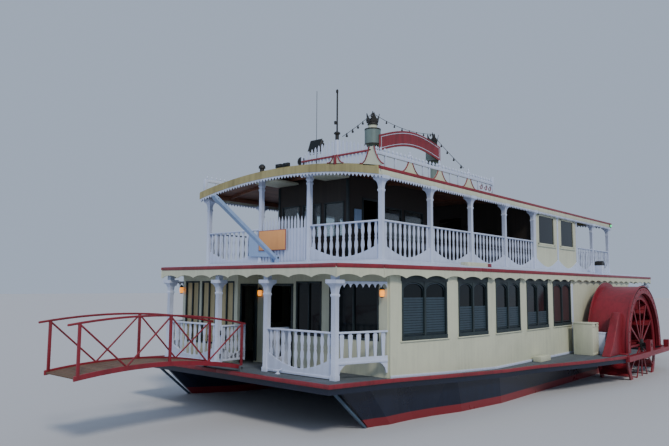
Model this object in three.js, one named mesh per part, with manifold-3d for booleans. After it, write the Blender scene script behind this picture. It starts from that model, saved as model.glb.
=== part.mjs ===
import * as THREE from 'three';
import { mergeVertices } from 'three/addons/utils/BufferGeometryUtils.js';
import Module from 'manifold-3d';

const wasm = await Module();
wasm.setup();

// Twin-hulled side-wheel paddle steamer, in millimetres. +X is the bow, +Y is port.
// x = 0 is the line of the upper deck's front posts, z = 0 the flat bottoms of the hulls.
const GAP = 0.3;
// A bore's corners stand this far outside its pin
const PLAY = 0.9;
const BOW_REACH = 6290;
const STERN_REACH = -20250;
const MIDSHIP = (BOW_REACH + STERN_REACH) / 2;

const DECK_THICK = 200;
const DECK_Z = 1880 + GAP;
const WHEEL = { x: -12830, z: 2080, radius: 1950, inner: 4620, outer: 5640, arms: 12, shaft: 70 };
const COVER = { radius: 2110, wall: 40, inner: 4450, outer: 5780, ringInner: 1850, ringOuter: 2150 };
const SLOT = { fore: -10600, aft: -15060, inner: 4400 };
const BEAM = { fore: -10100, aft: -15500, inner: 5800, outer: 5980, bottom: 1700, top: 1870 };
const UPPER_FLOOR = 4700;
const SLAB = { thick: 100, fasciaThick: 40, fasciaDrop: 420, aft: -20100 };
const CABIN = { aft: -17000, wall: 60, sill: 2850, head: 4280, halfBreadth: 4100, top: 4600 };
const POST = 140;
const RAIL_HEIGHT = 1050;
const ROOF = { fore: 300, aft: -17100, halfBreadth: 3470, edgeTop: 7020, crown: 7360, shell: 80, lip: 220 };
const UPPER_SIDE = 3330;
const UPPER_INNER = 945;
const LOWER_POST_X = 1470;
const LOWER_OUTER = 3140;
const LOWER_INNER = 940;
const GANGWAY = { pivotX: 2050, pivotZ: 2190, pin: 20, halfWidth: 620, barThick: 45 };
const BOOM = { footX: 340, footZ: 4890, pin: 25, length: 2600, raise: 34.5 };
const GATE = { length: 820, thick: 40, height: 960, hingeX: 1450, hingeY: 850 };
const RUDDER = { x: -20060, y: 3200, stock: 30 };

// Deck stations: x, half-breadth, top of deck
const DECK = [
  [2100, 3520, 2100], [50, 3640, 2020], [-2280, 4080, 1950], [-4200, 4300, 1880], [-5600, 4560, 1880],
  [-7700, 5220, 1880], [-10200, 5780, 1880], [-15450, 5780, 1880], [-17600, 4350, 1880], [-19950, 4250, 1880],
];
// Hull stations: x at the deck, x at the keel, height of the keel, inner side, outer side
const HULL = [
  [1640, -350, 120, 3260, 3345], [850, -900, 30, 2860, 3520], [-300, -1500, 0, 2430, 3600],
  [-2280, -2800, 0, 2160, 4000], [-4200, -4400, 0, 2150, 4230], [-17000, -17000, 0, 2150, 4230],
  [-19800, -19700, 520, 2200, 4180],
];
// Upper deck plan: x, half-breadth
const UPPER_PLAN = [[1660, 3320], [450, 3720], [-3300, 4200], [SLAB.aft, 4200]];

const FINISH = {
  navy: { color: 0x141c33, roughness: 0.4, metalness: 0.1 },
  red: { color: 0x7c1a22, roughness: 0.45, metalness: 0.1 },
  cream: { color: 0xc9cbb4, roughness: 0.55, metalness: 0 },
  white: { color: 0xb9c3dc, roughness: 0.5, metalness: 0 },
  roof: { color: 0x9a9468, roughness: 0.7, metalness: 0 },
  timber: { color: 0x6b5342, roughness: 0.8, metalness: 0 },
  deck: { color: 0x5b6470, roughness: 0.8, metalness: 0 },
  dark: { color: 0x17191c, roughness: 0.5, metalness: 0.2 },
  steel: { color: 0x6d7378, roughness: 0.5, metalness: 0.6 },
  drum: { color: 0x5f6f6a, roughness: 0.5, metalness: 0.2 },
};

const ship = new THREE.Group();
ship.position.x = -MIDSHIP;

// Solids from three.js geometries

function solid(geometry) {
  const bare = geometry.clone();
  bare.deleteAttribute('normal');
  bare.deleteAttribute('uv');
  const merged = mergeVertices(bare, 1e-3);
  return new wasm.Manifold(new wasm.Mesh({
    numProp: 3,
    vertProperties: new Float32Array(merged.attributes.position.array),
    triVerts: new Uint32Array(merged.index.array),
  }));
}

function toGeometry(body) {
  const { numProp, vertProperties, triVerts } = body.getMesh();
  const positions = new Float32Array((vertProperties.length / numProp) * 3);
  for (let i = 0; i < positions.length / 3; i += 1) {
    for (let k = 0; k < 3; k += 1) positions[i * 3 + k] = vertProperties[i * numProp + k];
  }
  const geometry = new THREE.BufferGeometry();
  geometry.setAttribute('position', new THREE.BufferAttribute(positions, 3));
  geometry.setIndex(Array.from(triVerts));
  geometry.computeVertexNormals();
  return geometry;
}

const join = (bodies) => bodies.reduce((sum, body) => sum.add(body));
const cut = (body, tools) => tools.reduce((rest, tool) => rest.subtract(tool), body);

function add(name, body, finish) {
  const mesh = new THREE.Mesh(toGeometry(body), new THREE.MeshStandardMaterial(FINISH[finish]));
  mesh.name = name;
  ship.add(mesh);
}

function mirrored(body) {
  const geometry = toGeometry(body);
  geometry.scale(1, -1, 1);
  const index = geometry.index.array;
  for (let i = 0; i < index.length; i += 3) [index[i], index[i + 1]] = [index[i + 1], index[i]];
  return solid(geometry);
}

function addPair(name, portBody, finish) {
  add(`${name}_port`, portBody, finish);
  add(`${name}_starboard`, mirrored(portBody), finish);
}

function block(x0, x1, y0, y1, z0, z1) {
  const geometry = new THREE.BoxGeometry(Math.abs(x1 - x0), Math.abs(y1 - y0), Math.abs(z1 - z0));
  geometry.translate((x0 + x1) / 2, (y0 + y1) / 2, (z0 + z1) / 2);
  return solid(geometry);
}

const axis = (x, y, z) => new THREE.Vector3(x, y, z);
const rect = (u0, u1, v0, v1) => [[u0, v0], [u1, v0], [u1, v1], [u0, v1]];

function prism(points, depth, matrix) {
  const shape = new THREE.Shape(points.map(([u, v]) => new THREE.Vector2(u, v)));
  const geometry = new THREE.ExtrudeGeometry(shape, { depth, bevelEnabled: false });
  geometry.applyMatrix4(matrix);
  return solid(geometry);
}

// An outline pushed along the matrix's third axis, with holes cut right through it
function extruded(points, depth, matrix, holes = []) {
  const start = matrix.clone().multiply(new THREE.Matrix4().makeTranslation(0, 0, -10));
  return cut(prism(points, depth, matrix), holes.map((hole) => prism(hole, depth + 20, start)));
}

function planPrism(points, z0, z1) {
  return extruded(points, z1 - z0, new THREE.Matrix4().makeTranslation(0, 0, z0));
}

function sidePrism(points, y0, y1, holes) {
  const matrix = new THREE.Matrix4().makeBasis(axis(1, 0, 0), axis(0, 0, 1), axis(0, -1, 0));
  return extruded(points, y1 - y0, matrix.setPosition(0, y1, 0), holes);
}

function frontPrism(points, x0, x1, holes) {
  const matrix = new THREE.Matrix4().makeBasis(axis(0, 1, 0), axis(0, 0, 1), axis(1, 0, 0));
  return extruded(points, x1 - x0, matrix.setPosition(x0, 0, 0), holes);
}

// An upright panel from plan point a to plan point b: u runs along it, v is height
function panel(a, b, base, thick, { points, holes = [] }) {
  const along = axis(b[0] - a[0], b[1] - a[1], 0).normalize();
  const across = axis(along.y, -along.x, 0);
  const matrix = new THREE.Matrix4().makeBasis(along, axis(0, 0, 1), across);
  const offset = across.clone().multiplyScalar(-thick / 2);
  return extruded(points, thick, matrix.setPosition(a[0] + offset.x, a[1] + offset.y, base), holes);
}

function rod(from, to, radius, sides = 8) {
  const start = axis(...from);
  const end = axis(...to);
  const geometry = new THREE.CylinderGeometry(radius, radius, start.distanceTo(end), sides);
  const turn = new THREE.Quaternion().setFromUnitVectors(axis(0, 1, 0), end.clone().sub(start).normalize());
  geometry.applyQuaternion(turn);
  geometry.translate(...start.add(end).multiplyScalar(0.5).toArray());
  return solid(geometry);
}

const bore = (from, to, radius, sides = 16) => rod(from, to, radius + PLAY, sides);

function lathe(profile, centre, sides, upright = true) {
  const geometry = new THREE.LatheGeometry(profile.map(([r, h]) => new THREE.Vector2(r, h)), sides);
  if (upright) geometry.rotateX(Math.PI / 2);
  geometry.translate(...centre);
  return solid(geometry);
}

function loft(rings) {
  const size = rings[0].length;
  const index = [];
  for (let r = 0; r + 1 < rings.length; r += 1) {
    for (let i = 0; i < size; i += 1) {
      const a = r * size + i;
      const b = r * size + ((i + 1) % size);
      index.push(a, b + size, b, a, a + size, b + size);
    }
  }
  const last = (rings.length - 1) * size;
  for (let i = 1; i + 1 < size; i += 1) index.push(0, i, i + 1, last, last + i + 1, last + i);
  const geometry = new THREE.BufferGeometry();
  geometry.setAttribute('position', new THREE.Float32BufferAttribute(rings.flat(2), 3));
  geometry.setIndex(index);
  return solid(geometry);
}

// Deck, and the volumes that trim what stands on it or hangs under it

function deckVolume(outset, above, below, endOutset = outset) {
  return loft(DECK.map(([x, half, top], i) => {
    const end = i === 0 ? endOutset : i === DECK.length - 1 ? -endOutset : 0;
    const y = half + outset;
    return [[x + end, -y, top + above], [x + end, -y, top - below],
      [x + end, y, top - below], [x + end, y, top + above]];
  }));
}

const wheelSlot = (y1) => block(SLOT.aft, SLOT.fore, SLOT.inner, y1, 0, 6000);
const bothSides = (body) => join([body, mirrored(body)]);
const deckTrim = deckVolume(200, GAP, 1500, 0);
const deckUnder = deckVolume(1200, 1500, DECK_THICK + GAP, 0);
const onDeck = (body) => body.subtract(deckTrim);

function interpolate(table, x, column) {
  for (let i = 0; i + 1 < table.length; i += 1) {
    const [a, b] = [table[i], table[i + 1]];
    if (x <= a[0] && x >= b[0]) return a[column] + ((b[column] - a[column]) * (a[0] - x)) / (a[0] - b[0]);
  }
  return table[table.length - 1][column];
}

const deckTop = (x) => interpolate(DECK, x, 2);

function arcStrip(inner, outer, fromDeg, toDeg, steps) {
  const points = [];
  for (let i = 0; i <= steps; i += 1) points.push([outer, fromDeg + ((toDeg - fromDeg) * i) / steps]);
  for (let i = steps; i >= 0; i -= 1) points.push([inner, fromDeg + ((toDeg - fromDeg) * i) / steps]);
  return points.map(([radius, deg]) => {
    const angle = THREE.MathUtils.degToRad(deg);
    return [WHEEL.x + radius * Math.cos(angle), WHEEL.z + radius * Math.sin(angle)];
  });
}

// Hulls, deck, rub rails and guard beams

function hull() {
  const rings = HULL.map(([deckX, keelX, keel, inner, outer]) => {
    const bilge = keel + 350;
    const at = (z) => deckX + ((keelX - deckX) * (2000 - z)) / (2000 - keel);
    const pinch = (outer - inner) * 0.14;
    return [[at(2300), inner, 2300], [at(bilge), inner, bilge], [at(keel), inner + pinch, keel],
      [at(keel), outer - pinch, keel], [at(bilge), outer, bilge], [at(2300), outer, 2300]];
  });
  const gudgeons = [[700, 760], [1380, 1440]].map(([low, high]) => (
    block(-19600, RUDDER.x - 70, RUDDER.y - 50, RUDDER.y + 50, low, high)));
  const stockBore = bore([RUDDER.x, RUDDER.y, 0], [RUDDER.x, RUDDER.y, 2000], RUDDER.stock);
  return join([loft(rings), ...gudgeons]).subtract(stockBore).subtract(deckUnder);
}

addPair('hull', hull(), 'navy');

const slots = bothSides(wheelSlot(6500));
const lugs = [-1, 1].map((side) => {
  const y = side * (GANGWAY.halfWidth + 70);
  const lug = block(GANGWAY.pivotX - 50, GANGWAY.pivotX + 48, y - 25, y + 25, 2000, GANGWAY.pivotZ + 50);
  return lug.subtract(bore([GANGWAY.pivotX, y - 60, GANGWAY.pivotZ], [GANGWAY.pivotX, y + 60, GANGWAY.pivotZ],
    GANGWAY.pin));
});
add('main_deck', join([deckVolume(0, 0, DECK_THICK).subtract(slots), ...lugs]), 'deck');

const railRing = deckVolume(75, -25, 165).subtract(deckVolume(GAP, 500, 900));
const portHalf = block(BEAM.fore + GAP, 3000, GAP, 7000, 0, 4000);
addPair('rub_rail', railRing.intersect(portHalf), 'red');
add('rub_rail_stern', railRing.intersect(block(-21000, BEAM.aft - GAP, -7000, 7000, 0, 4000)), 'red');

function guardBeam() {
  const beam = block(BEAM.aft, BEAM.fore, BEAM.inner, BEAM.outer, BEAM.bottom, BEAM.top);
  const bearing = block(WHEEL.x - 160, WHEEL.x + 160, BEAM.inner + 20, BEAM.outer, BEAM.top - 20,
    WHEEL.z + 190);
  const bollard = block(BEAM.aft, BEAM.aft + 280, BEAM.inner, BEAM.outer, BEAM.top - 20, BEAM.top + 260);
  const seats = [[BEAM.fore - 330, BEAM.fore - 60], [BEAM.aft + 60, BEAM.aft + 330]].map(([x0, x1]) => (
    block(x0, x1, COVER.outer + GAP, BEAM.inner + 10, BEAM.bottom + 30, BEAM.top - 10)));
  const shaftBore = bore([WHEEL.x, 5700, WHEEL.z], [WHEEL.x, 6100, WHEEL.z], WHEEL.shaft, 24);
  return join([beam, bearing, bollard, ...seats]).subtract(shaftBore);
}

addPair('guard_beam', guardBeam(), 'red');

// Paddle wheels and their covers

function paddleWheel() {
  const spin = (body, deg) => {
    const geometry = toGeometry(body);
    geometry.translate(-WHEEL.x, 0, -WHEEL.z);
    geometry.rotateY(THREE.MathUtils.degToRad(deg));
    geometry.translate(WHEEL.x, 0, WHEEL.z);
    return solid(geometry);
  };
  // Rings of each side: inner radius, outer radius
  const rings = [[1130, 1200], [1780, 1860]];
  const faces = [WHEEL.inner, WHEEL.outer - 50];
  const parts = [rod([WHEEL.x, 4170, WHEEL.z], [WHEEL.x, 5960, WHEEL.z], WHEEL.shaft, 24)];
  parts.push(rod([WHEEL.x, WHEEL.inner, WHEEL.z], [WHEEL.x, WHEEL.outer, WHEEL.z], 210, 12));
  for (const y of faces) {
    for (const [inner, outer] of rings) {
      const profile = [[inner, 0], [outer, 0], [outer, 50], [inner, 50], [inner, 0]];
      parts.push(lathe(profile, [WHEEL.x, y, WHEEL.z], 24, false));
    }
  }
  for (let i = 0; i < WHEEL.arms; i += 1) {
    const angle = (i * 360) / WHEEL.arms + 7;
    for (const y of faces) {
      parts.push(spin(block(WHEEL.x + 150, WHEEL.x + 1820, y + 8, y + 42, WHEEL.z - 35, WHEEL.z + 35), angle));
    }
    const float = block(WHEEL.x + 1530, WHEEL.x + WHEEL.radius, WHEEL.inner + 45, WHEEL.outer - 45,
      WHEEL.z - 20, WHEEL.z + 20);
    parts.push(spin(float, angle));
  }
  return join(parts);
}

addPair('paddle_wheel', paddleWheel(), 'red');

function wheelCover() {
  const down = -8;
  const shell = sidePrism(arcStrip(COVER.radius - COVER.wall, COVER.radius, down, 180 - down, 20),
    COVER.inner, COVER.outer);
  const ring = sidePrism(arcStrip(COVER.ringInner, COVER.ringOuter, down, 180 - down, 20), 5700, COVER.outer);
  const flange = sidePrism(arcStrip(COVER.radius - 20, 2260, 4, 176, 20), COVER.inner, COVER.inner + 40);
  const inside = arcStrip(COVER.radius - 20, COVER.radius - 20, down, 180 - down, 20).slice(0, 21);
  const back = sidePrism(inside, COVER.inner, COVER.inner + 40);
  const bearing = block(WHEEL.x - 150, WHEEL.x + 150, 4250, COVER.inner + 20, DECK_Z, WHEEL.z + 180);
  const feet = [WHEEL.x + COVER.radius, WHEEL.x - COVER.radius].map((x) => {
    const out = Math.sign(x - WHEEL.x);
    return block(x - out * 30, x + out * 260, COVER.inner, COVER.outer, DECK_Z, DECK_Z + 50);
  });
  const fin = sidePrism([[-9470, DECK_Z], [-9850, 2250], [-10250, 2780], [-10650, 3300], [-11060, 3240],
    [-10760, 2600], [-10740, DECK_Z]], 5280, 5560);
  const shaftBore = bore([WHEEL.x, 4100, WHEEL.z], [WHEEL.x, 4600, WHEEL.z], WHEEL.shaft, 24);
  const below = block(-20000, 0, 4000, 6200, 0, DECK_Z);
  return join([shell, ring, flange, back, bearing, ...feet, fin]).subtract(shaftBore).subtract(below);
}

addPair('wheel_cover', wheelCover(), 'red');

function rudder() {
  const blade = block(RUDDER.x - 190, RUDDER.x + 90, RUDDER.y - 20, RUDDER.y + 20, 120, 640);
  return join([blade, rod([RUDDER.x, RUDDER.y, 200], [RUDDER.x, RUDDER.y, 1520], RUDDER.stock, 16),
    rod([RUDDER.x, RUDDER.y, 760 + GAP], [RUDDER.x, RUDDER.y, 800], RUDDER.stock + 25, 16)]);
}

addPair('rudder', rudder(), 'dark');

// Lower cabin

// Five windows a side: aft and fore x
const SIDE_WINDOWS = [[-1960, -330], [-3850, -2420], [-5890, -4300], [-8000, -6360], [-10020, -8430]];

function cabinSide(frontX, frontY) {
  const line = [[frontX, frontY], [-2280, 3970], [-4200, CABIN.halfBreadth], [CABIN.aft, CABIN.halfBreadth]];
  const half = CABIN.wall / 2;
  const plan = [...line.map(([x, y]) => [x, y - half]), ...line.reverse().map(([x, y]) => [x, y + half])];
  const windows = SIDE_WINDOWS.map(([aft, fore]) => block(aft, fore, 3000, 5000, CABIN.sill, CABIN.head));
  return onDeck(cut(planPrism(plan, 1500, CABIN.top - GAP), windows));
}

add('cabin_side_port', cabinSide(50, 3590), 'cream');
add('cabin_side_starboard', mirrored(cabinSide(800, 3450)), 'cream');

function cabinFront() {
  const top = CABIN.top - GAP;
  const starboard = frontPrism(rect(-3419, -940, 1500, top), 770, 830,
    [rect(-3300, -2640, 2500, 4260), rect(-2520, -1860, 2500, 4260), rect(-1740, -1080, 2500, 4260)]);
  const port = frontPrism(rect(-1000, 3559, 1500, top), 20, 80,
    [rect(560, 1480, 2850, 4260), rect(1740, 3310, 2850, 4260)]);
  const step = block(20, 830, -1000, -940, 1500, top);
  const doorways = [block(0, 100, -540, 400, 1500, 4130), block(160, 720, -1100, -900, 1500, 4130)];
  return onDeck(cut(join([starboard, port, step]), doorways));
}

add('cabin_front', cabinFront(), 'cream');
const aftDoor = block(CABIN.aft - 100, CABIN.aft + 100, -450, 450, 1500, 3930);
add('cabin_aft', onDeck(block(CABIN.aft, CABIN.aft + CABIN.wall, -4060, 4060, 1500, CABIN.top - GAP)
  .subtract(aftDoor)), 'cream');
add('engine', block(-13900, -11700, -650, 650, DECK_Z, 2900), 'steel');

// Upper deck slab with its hanging fascia

function upperPlan(inset) {
  const last = UPPER_PLAN.length - 1;
  const half = UPPER_PLAN.map(([x, y], i) => [x - (i === 0 ? inset : i === last ? -inset : 0), y - inset]);
  return [...half.map(([x, y]) => [x, -y]), ...half.reverse()];
}

const STAIR = { fore: -17080, aft: -19300, half: 550 };
const slab = planPrism(upperPlan(0), UPPER_FLOOR - SLAB.thick, UPPER_FLOOR);
const fasciaFoot = UPPER_FLOOR - SLAB.fasciaDrop;
const fascia = planPrism(upperPlan(0), fasciaFoot, UPPER_FLOOR - 20)
  .subtract(planPrism(upperPlan(SLAB.fasciaThick), fasciaFoot - 100, UPPER_FLOOR));
const stairWell = block(STAIR.aft, STAIR.fore, -STAIR.half, STAIR.half, 4000, 5000);
const boomCheeks = [-1, 1].map((side) => {
  const y = side * 95;
  const cheek = block(BOOM.footX - 60, BOOM.footX + 60, y - 20, y + 20, UPPER_FLOOR - 20, BOOM.footZ + 70);
  return cheek.subtract(bore([BOOM.footX, y - 60, BOOM.footZ], [BOOM.footX, y + 60, BOOM.footZ], BOOM.pin));
});
add('upper_deck', join([slab, fascia, ...boomCheeks]).subtract(stairWell), 'cream');

// Railings: slots between balusters over a foot board whose top dips between the posts

const RAIL_BOARD = { foot: 300, dip: 150, top: 60, pitch: 330, gap: 170, base: 15 };

function railShape(length, height, options = {}) {
  const { foot, dip, top, pitch, gap, base } = { ...RAIL_BOARD, ...options };
  const count = Math.max(1, Math.round(length / pitch));
  const step = length / count;
  const wave = (u) => foot - dip * Math.sin((Math.PI * u) / length);
  const holes = [];
  for (let i = 0; i < count; i += 1) {
    const [u0, u1] = [(i + 0.5) * step - gap / 2, (i + 0.5) * step + gap / 2];
    holes.push([[u0, wave(u0)], [u1, wave(u1)], [u1, height - top], [u0, height - top]]);
  }
  return { points: rect(0, length, base, height), holes };
}

function railBay(a, b, base, options) {
  const length = Math.hypot(b[0] - a[0], b[1] - a[1]);
  const bay = panel(a, b, base, 50, railShape(length, RAIL_HEIGHT - 40, options));
  const cap = panel(a, b, base + RAIL_HEIGHT - 50, 90, { points: rect(2, length - 2, 0, 50) });
  return join([bay, cap]);
}

const post = (x, y, z0, z1) => block(x - POST / 2, x + POST / 2, y - POST / 2, y + POST / 2, z0, z1);
const lowerTop = UPPER_FLOOR - SLAB.thick - GAP;

function bowScreen(cornerX, cornerY) {
  const front = railBay([LOWER_POST_X, LOWER_INNER], [LOWER_POST_X, LOWER_OUTER], deckTop(LOWER_POST_X) + 40);
  const side = railBay([LOWER_POST_X, LOWER_OUTER], [cornerX, cornerY], deckTop(LOWER_POST_X) + 40,
    { foot: 420, dip: 0, base: 300 });
  const newel = post(LOWER_POST_X, LOWER_INNER, 1900, lowerTop);
  const corner = post(LOWER_POST_X, LOWER_OUTER, 1900, lowerTop);
  const header = block(LOWER_POST_X - 40, LOWER_POST_X + 40, LOWER_INNER, LOWER_OUTER, lowerTop - 160,
    lowerTop);
  return onDeck(join([front, side, newel, corner, header]));
}

add('bow_screen_port', bowScreen(95, 3560), 'white');
add('bow_screen_starboard', mirrored(bowScreen(880, 3360)), 'white');

function gateLeaf() {
  const foot = deckTop(LOWER_POST_X) + 60;
  const y = GATE.hingeY - GATE.thick / 2;
  const shape = railShape(GATE.length, GATE.height, { pitch: 200, gap: 100 });
  const leaf = panel([GATE.hingeX, y], [GATE.hingeX - GATE.length, y], foot, GATE.thick, shape);
  const radius = LOWER_INNER - POST / 2 - GAP - GATE.hingeY;
  const knuckle = rod([GATE.hingeX, GATE.hingeY, foot + 20], [GATE.hingeX, GATE.hingeY, foot + GATE.height - 5],
    radius, 12);
  return join([leaf, knuckle]);
}

addPair('bow_gate', gateLeaf(), 'white');

// Gangway carried at the bow

const arch = (x, ship0, mid, shore) => {
  const t = (x - 1950) / 4100;
  return ship0 + (4 * mid - 3 * ship0 - shore) * t + (2 * ship0 + 2 * shore - 4 * mid) * t * t;
};
const walkway = (x) => arch(x, 2180, 2440, 2350);
const handrail = (x) => arch(x, 3230, 3480, 3400);

function archStrip(curve, x0, x1, below, above, steps) {
  const xs = Array.from({ length: steps + 1 }, (_, i) => x0 + ((x1 - x0) * i) / steps);
  return [...xs.map((x) => [x, curve(x) - below]), ...xs.reverse().map((x) => [x, curve(x) + above])];
}

function strut(a, b, half) {
  const along = new THREE.Vector2(b[0] - a[0], b[1] - a[1]).normalize().multiplyScalar(half);
  return [[a[0] + along.y, a[1] - along.x], [b[0] + along.y, b[1] - along.x],
    [b[0] - along.y, b[1] + along.x], [a[0] - along.y, a[1] + along.x]];
}

function gangway() {
  const posts = [1990, 4000, 6050];
  const half = GANGWAY.barThick / 2;
  const parts = [];
  for (const side of [-1, 1]) {
    const [y0, y1] = [side * GANGWAY.halfWidth - half, side * GANGWAY.halfWidth + half];
    parts.push(sidePrism(archStrip(walkway, 1955, 6130, 40, 60, 6), y0, y1));
    parts.push(sidePrism(archStrip(handrail, 1890, BOW_REACH, 22, 22, 6), y0, y1));
    for (const x of posts) parts.push(block(x - 30, x + 30, y0, y1, walkway(x) - 30, handrail(x)));
    for (const [a, b] of [[1990, 4000], [4000, 6050]]) {
      const mid = (a + b) / 2;
      const low = [mid, walkway(mid) + 30];
      parts.push(sidePrism(strut([a, handrail(a) - 10], low, 14), y0 + 8, y1 - 8));
      parts.push(sidePrism(strut([b, handrail(b) - 10], low, 14), y0 + 8, y1 - 8));
    }
  }
  parts.push(sidePrism(archStrip(walkway, 1970, 6120, 20, 20, 6), -GANGWAY.halfWidth, GANGWAY.halfWidth));
  const pinReach = GANGWAY.halfWidth + 110;
  parts.push(rod([GANGWAY.pivotX, -pinReach, GANGWAY.pivotZ], [GANGWAY.pivotX, pinReach, GANGWAY.pivotZ],
    GANGWAY.pin, 12));
  return join(parts);
}

add('gangway', gangway(), 'red');

function boom() {
  const angle = THREE.MathUtils.degToRad(BOOM.raise);
  const tip = [BOOM.footX + BOOM.length * Math.cos(angle), BOOM.footZ + BOOM.length * Math.sin(angle)];
  const beam = sidePrism(strut([BOOM.footX, BOOM.footZ], tip, 50), -70, 70);
  const pin = rod([BOOM.footX, -130, BOOM.footZ], [BOOM.footX, 130, BOOM.footZ], BOOM.pin, 12);
  return join([beam, pin]);
}

add('boom', boom(), 'white');

// Roof shell: a shallow arch with a hanging lip all round

const archHeight = (y, drop) => ROOF.crown - drop - (ROOF.crown - ROOF.edgeTop) * (y / ROOF.halfBreadth) ** 2;

function roofSection(half, topDrop, bottomDrop) {
  const ys = Array.from({ length: 13 }, (_, i) => half * (i / 6 - 1));
  const line = (drop) => ys.map((y) => [y, archHeight(y, drop)]);
  return [...line(bottomDrop), ...line(topDrop).reverse()];
}

const lipFoot = ROOF.edgeTop - ROOF.lip;
const shellArc = roofSection(ROOF.halfBreadth, 0, ROOF.shell);
const under = shellArc.slice(0, 13).map(([y, z]) => [y * (1 - 40 / ROOF.halfBreadth), z]);
const profile = [[-ROOF.halfBreadth, lipFoot], [40 - ROOF.halfBreadth, lipFoot], ...under,
  [ROOF.halfBreadth - 40, lipFoot], [ROOF.halfBreadth, lipFoot], ...shellArc.slice(13)];
const fasciaPlate = (x) => frontPrism(roofSection(ROOF.halfBreadth - 20, 40, ROOF.lip), x, x + 36);
add('roof', join([frontPrism(profile, ROOF.aft, ROOF.fore), fasciaPlate(ROOF.fore - 38),
  fasciaPlate(ROOF.aft + 2)]), 'roof');

const ceiling = under.map(([y, z]) => [y, z - GAP]);
const overCeiling = [...ceiling, [ROOF.halfBreadth, 8000], [-ROOF.halfBreadth, 8000]];
const aboveCeiling = frontPrism(overCeiling, ROOF.aft, ROOF.fore);
const roofBody = frontPrism(roofSection(ROOF.halfBreadth, -GAP, 900), ROOF.aft, ROOF.fore);
const belowRoof = (body) => body.subtract(aboveCeiling);
const onRoof = (body) => body.subtract(roofBody);

// Upper deck posts and railings

const FLOOR = UPPER_FLOOR + GAP;
const HEADER_TOP = 6950;

function upperFront() {
  const bay = railBay([0, UPPER_INNER], [0, UPPER_SIDE], FLOOR);
  const header = block(-50, 50, UPPER_INNER, UPPER_SIDE, 6800, 6880);
  return belowRoof(join([post(0, UPPER_INNER, FLOOR, 7500), post(0, UPPER_SIDE, FLOOR, 7500), bay, header]));
}

addPair('upper_front_rail', upperFront(), 'white');

function picketGate() {
  const half = UPPER_INNER - POST / 2 - GAP;
  const points = [[-half, FLOOR], [half, FLOOR]];
  const count = 11;
  const step = (2 * half) / count;
  for (let i = 0; i < count; i += 1) {
    const y = half - i * step;
    points.push([y, 5700], [y, 5930], [y - step / 4, 6000], [y - step / 2, 5930], [y - step / 2, 5700]);
  }
  points.push([-half, 5700]);
  return frontPrism(points, -20, 20);
}

add('picket_gate', picketGate(), 'white');
add('bow_board', block(20 + GAP, 50, -850, 60, 5160, 5660), 'red');

function upperSide() {
  const xs = [-2180, -4390, -6610, -8830];
  const parts = xs.map((x) => post(x, UPPER_SIDE, FLOOR, 7500));
  const starts = [-POST / 2 - GAP, ...xs.slice(0, 3)];
  starts.forEach((x, i) => parts.push(railBay([x, UPPER_SIDE], [xs[i], UPPER_SIDE], FLOOR)));
  parts.push(block(xs[3], starts[0], UPPER_SIDE - 50, UPPER_SIDE + 50, 6800, HEADER_TOP));
  return belowRoof(join(parts));
}

addPair('upper_side_rail', upperSide(), 'white');

const LOUNGE = { fore: -8900 - GAP, aft: -12950, inner: 3300, outer: 3360 };

function loungeSide() {
  const holes = [[-10700, -9200], [-12650, -11250]].map(([x0, x1]) => rect(x0, x1, 5650, 6740));
  return belowRoof(sidePrism(rect(LOUNGE.aft, LOUNGE.fore, FLOOR, 7300), LOUNGE.inner, LOUNGE.outer, holes));
}

addPair('lounge_side', loungeSide(), 'cream');

function bulkhead(x) {
  const wall = block(x - 25, x + 25, -LOUNGE.inner + GAP, LOUNGE.inner - GAP, FLOOR, 7600);
  return belowRoof(wall.subtract(block(x - 60, x + 60, -480, 480, 4000, 6750)));
}

add('lounge_fore', bulkhead(LOUNGE.fore - 25), 'cream');
add('lounge_aft', bulkhead(LOUNGE.aft + 25), 'cream');

// Deckhouse behind the picket gate: three front windows, a doorway and two windows a side
function wheelhouse() {
  const [aft, fore, half, wall] = [-5200, -1100, 1350, 50];
  const room = block(aft + wall, fore - wall, wall - half, half - wall, 4000, 8000);
  const front = [[-1220, -480], [-370, 370], [480, 1220]].map(([y0, y1]) => (
    block(fore - 100, fore + 50, y0, y1, 5500, 6500)));
  const doorway = block(-2500, -1800, -2000, 2000, 4000, 6600);
  const sides = [[-4900, -3850], [-3700, -2700]].map(([x0, x1]) => block(x0, x1, -2000, 2000, 5500, 6500));
  return belowRoof(cut(block(aft, fore, -half, half, FLOOR, 7600), [room, ...front, doorway, ...sides]));
}

add('wheelhouse', wheelhouse(), 'timber');

function upperAft() {
  const aftX = -16850;
  const start = LOUNGE.aft - GAP;
  const side = [[start, -14800], [-14800, aftX]].map(([a, b]) => (
    railBay([a, UPPER_SIDE], [b, UPPER_SIDE], FLOOR)));
  const end = railBay([aftX, UPPER_SIDE], [aftX, 560], FLOOR);
  const posts = [post(-14800, UPPER_SIDE, FLOOR, 7500), post(aftX, UPPER_SIDE, FLOOR, 7500),
    post(aftX, 560, FLOOR, FLOOR + RAIL_HEIGHT + 60)];
  const header = block(aftX, start, UPPER_SIDE - 50, UPPER_SIDE + 50, 6800, HEADER_TOP);
  return belowRoof(join([...side, end, ...posts, header]));
}

addPair('upper_aft_rail', upperAft(), 'white');

// Roof fence: pickets in front on the port half, and a railing with flared feet along each side

function frontFence() {
  const pickets = [];
  const count = 14;
  for (let i = 0; i < count; i += 1) {
    const y = 1000 + (i * 2100) / (count - 1);
    const top = 7580 + 250 * Math.sin((Math.PI * (i + 1)) / (count + 1));
    pickets.push(block(250, 280, y - 32, y + 32, 6900, top));
  }
  const bell = (y) => frontPrism([[y - 260, 6900], [y + 260, 6900], [y + 90, 7250], [y + 60, 7450],
    [y - 60, 7450], [y - 90, 7250]], 245, 285);
  const rail = block(240, 290, 900, 3120, 7380, 7420);
  const forward = block(240, 299, 0, 3200, 6500, 8000);
  return onRoof(join([rail, bell(2100), ...pickets]).intersect(forward));
}

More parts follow.
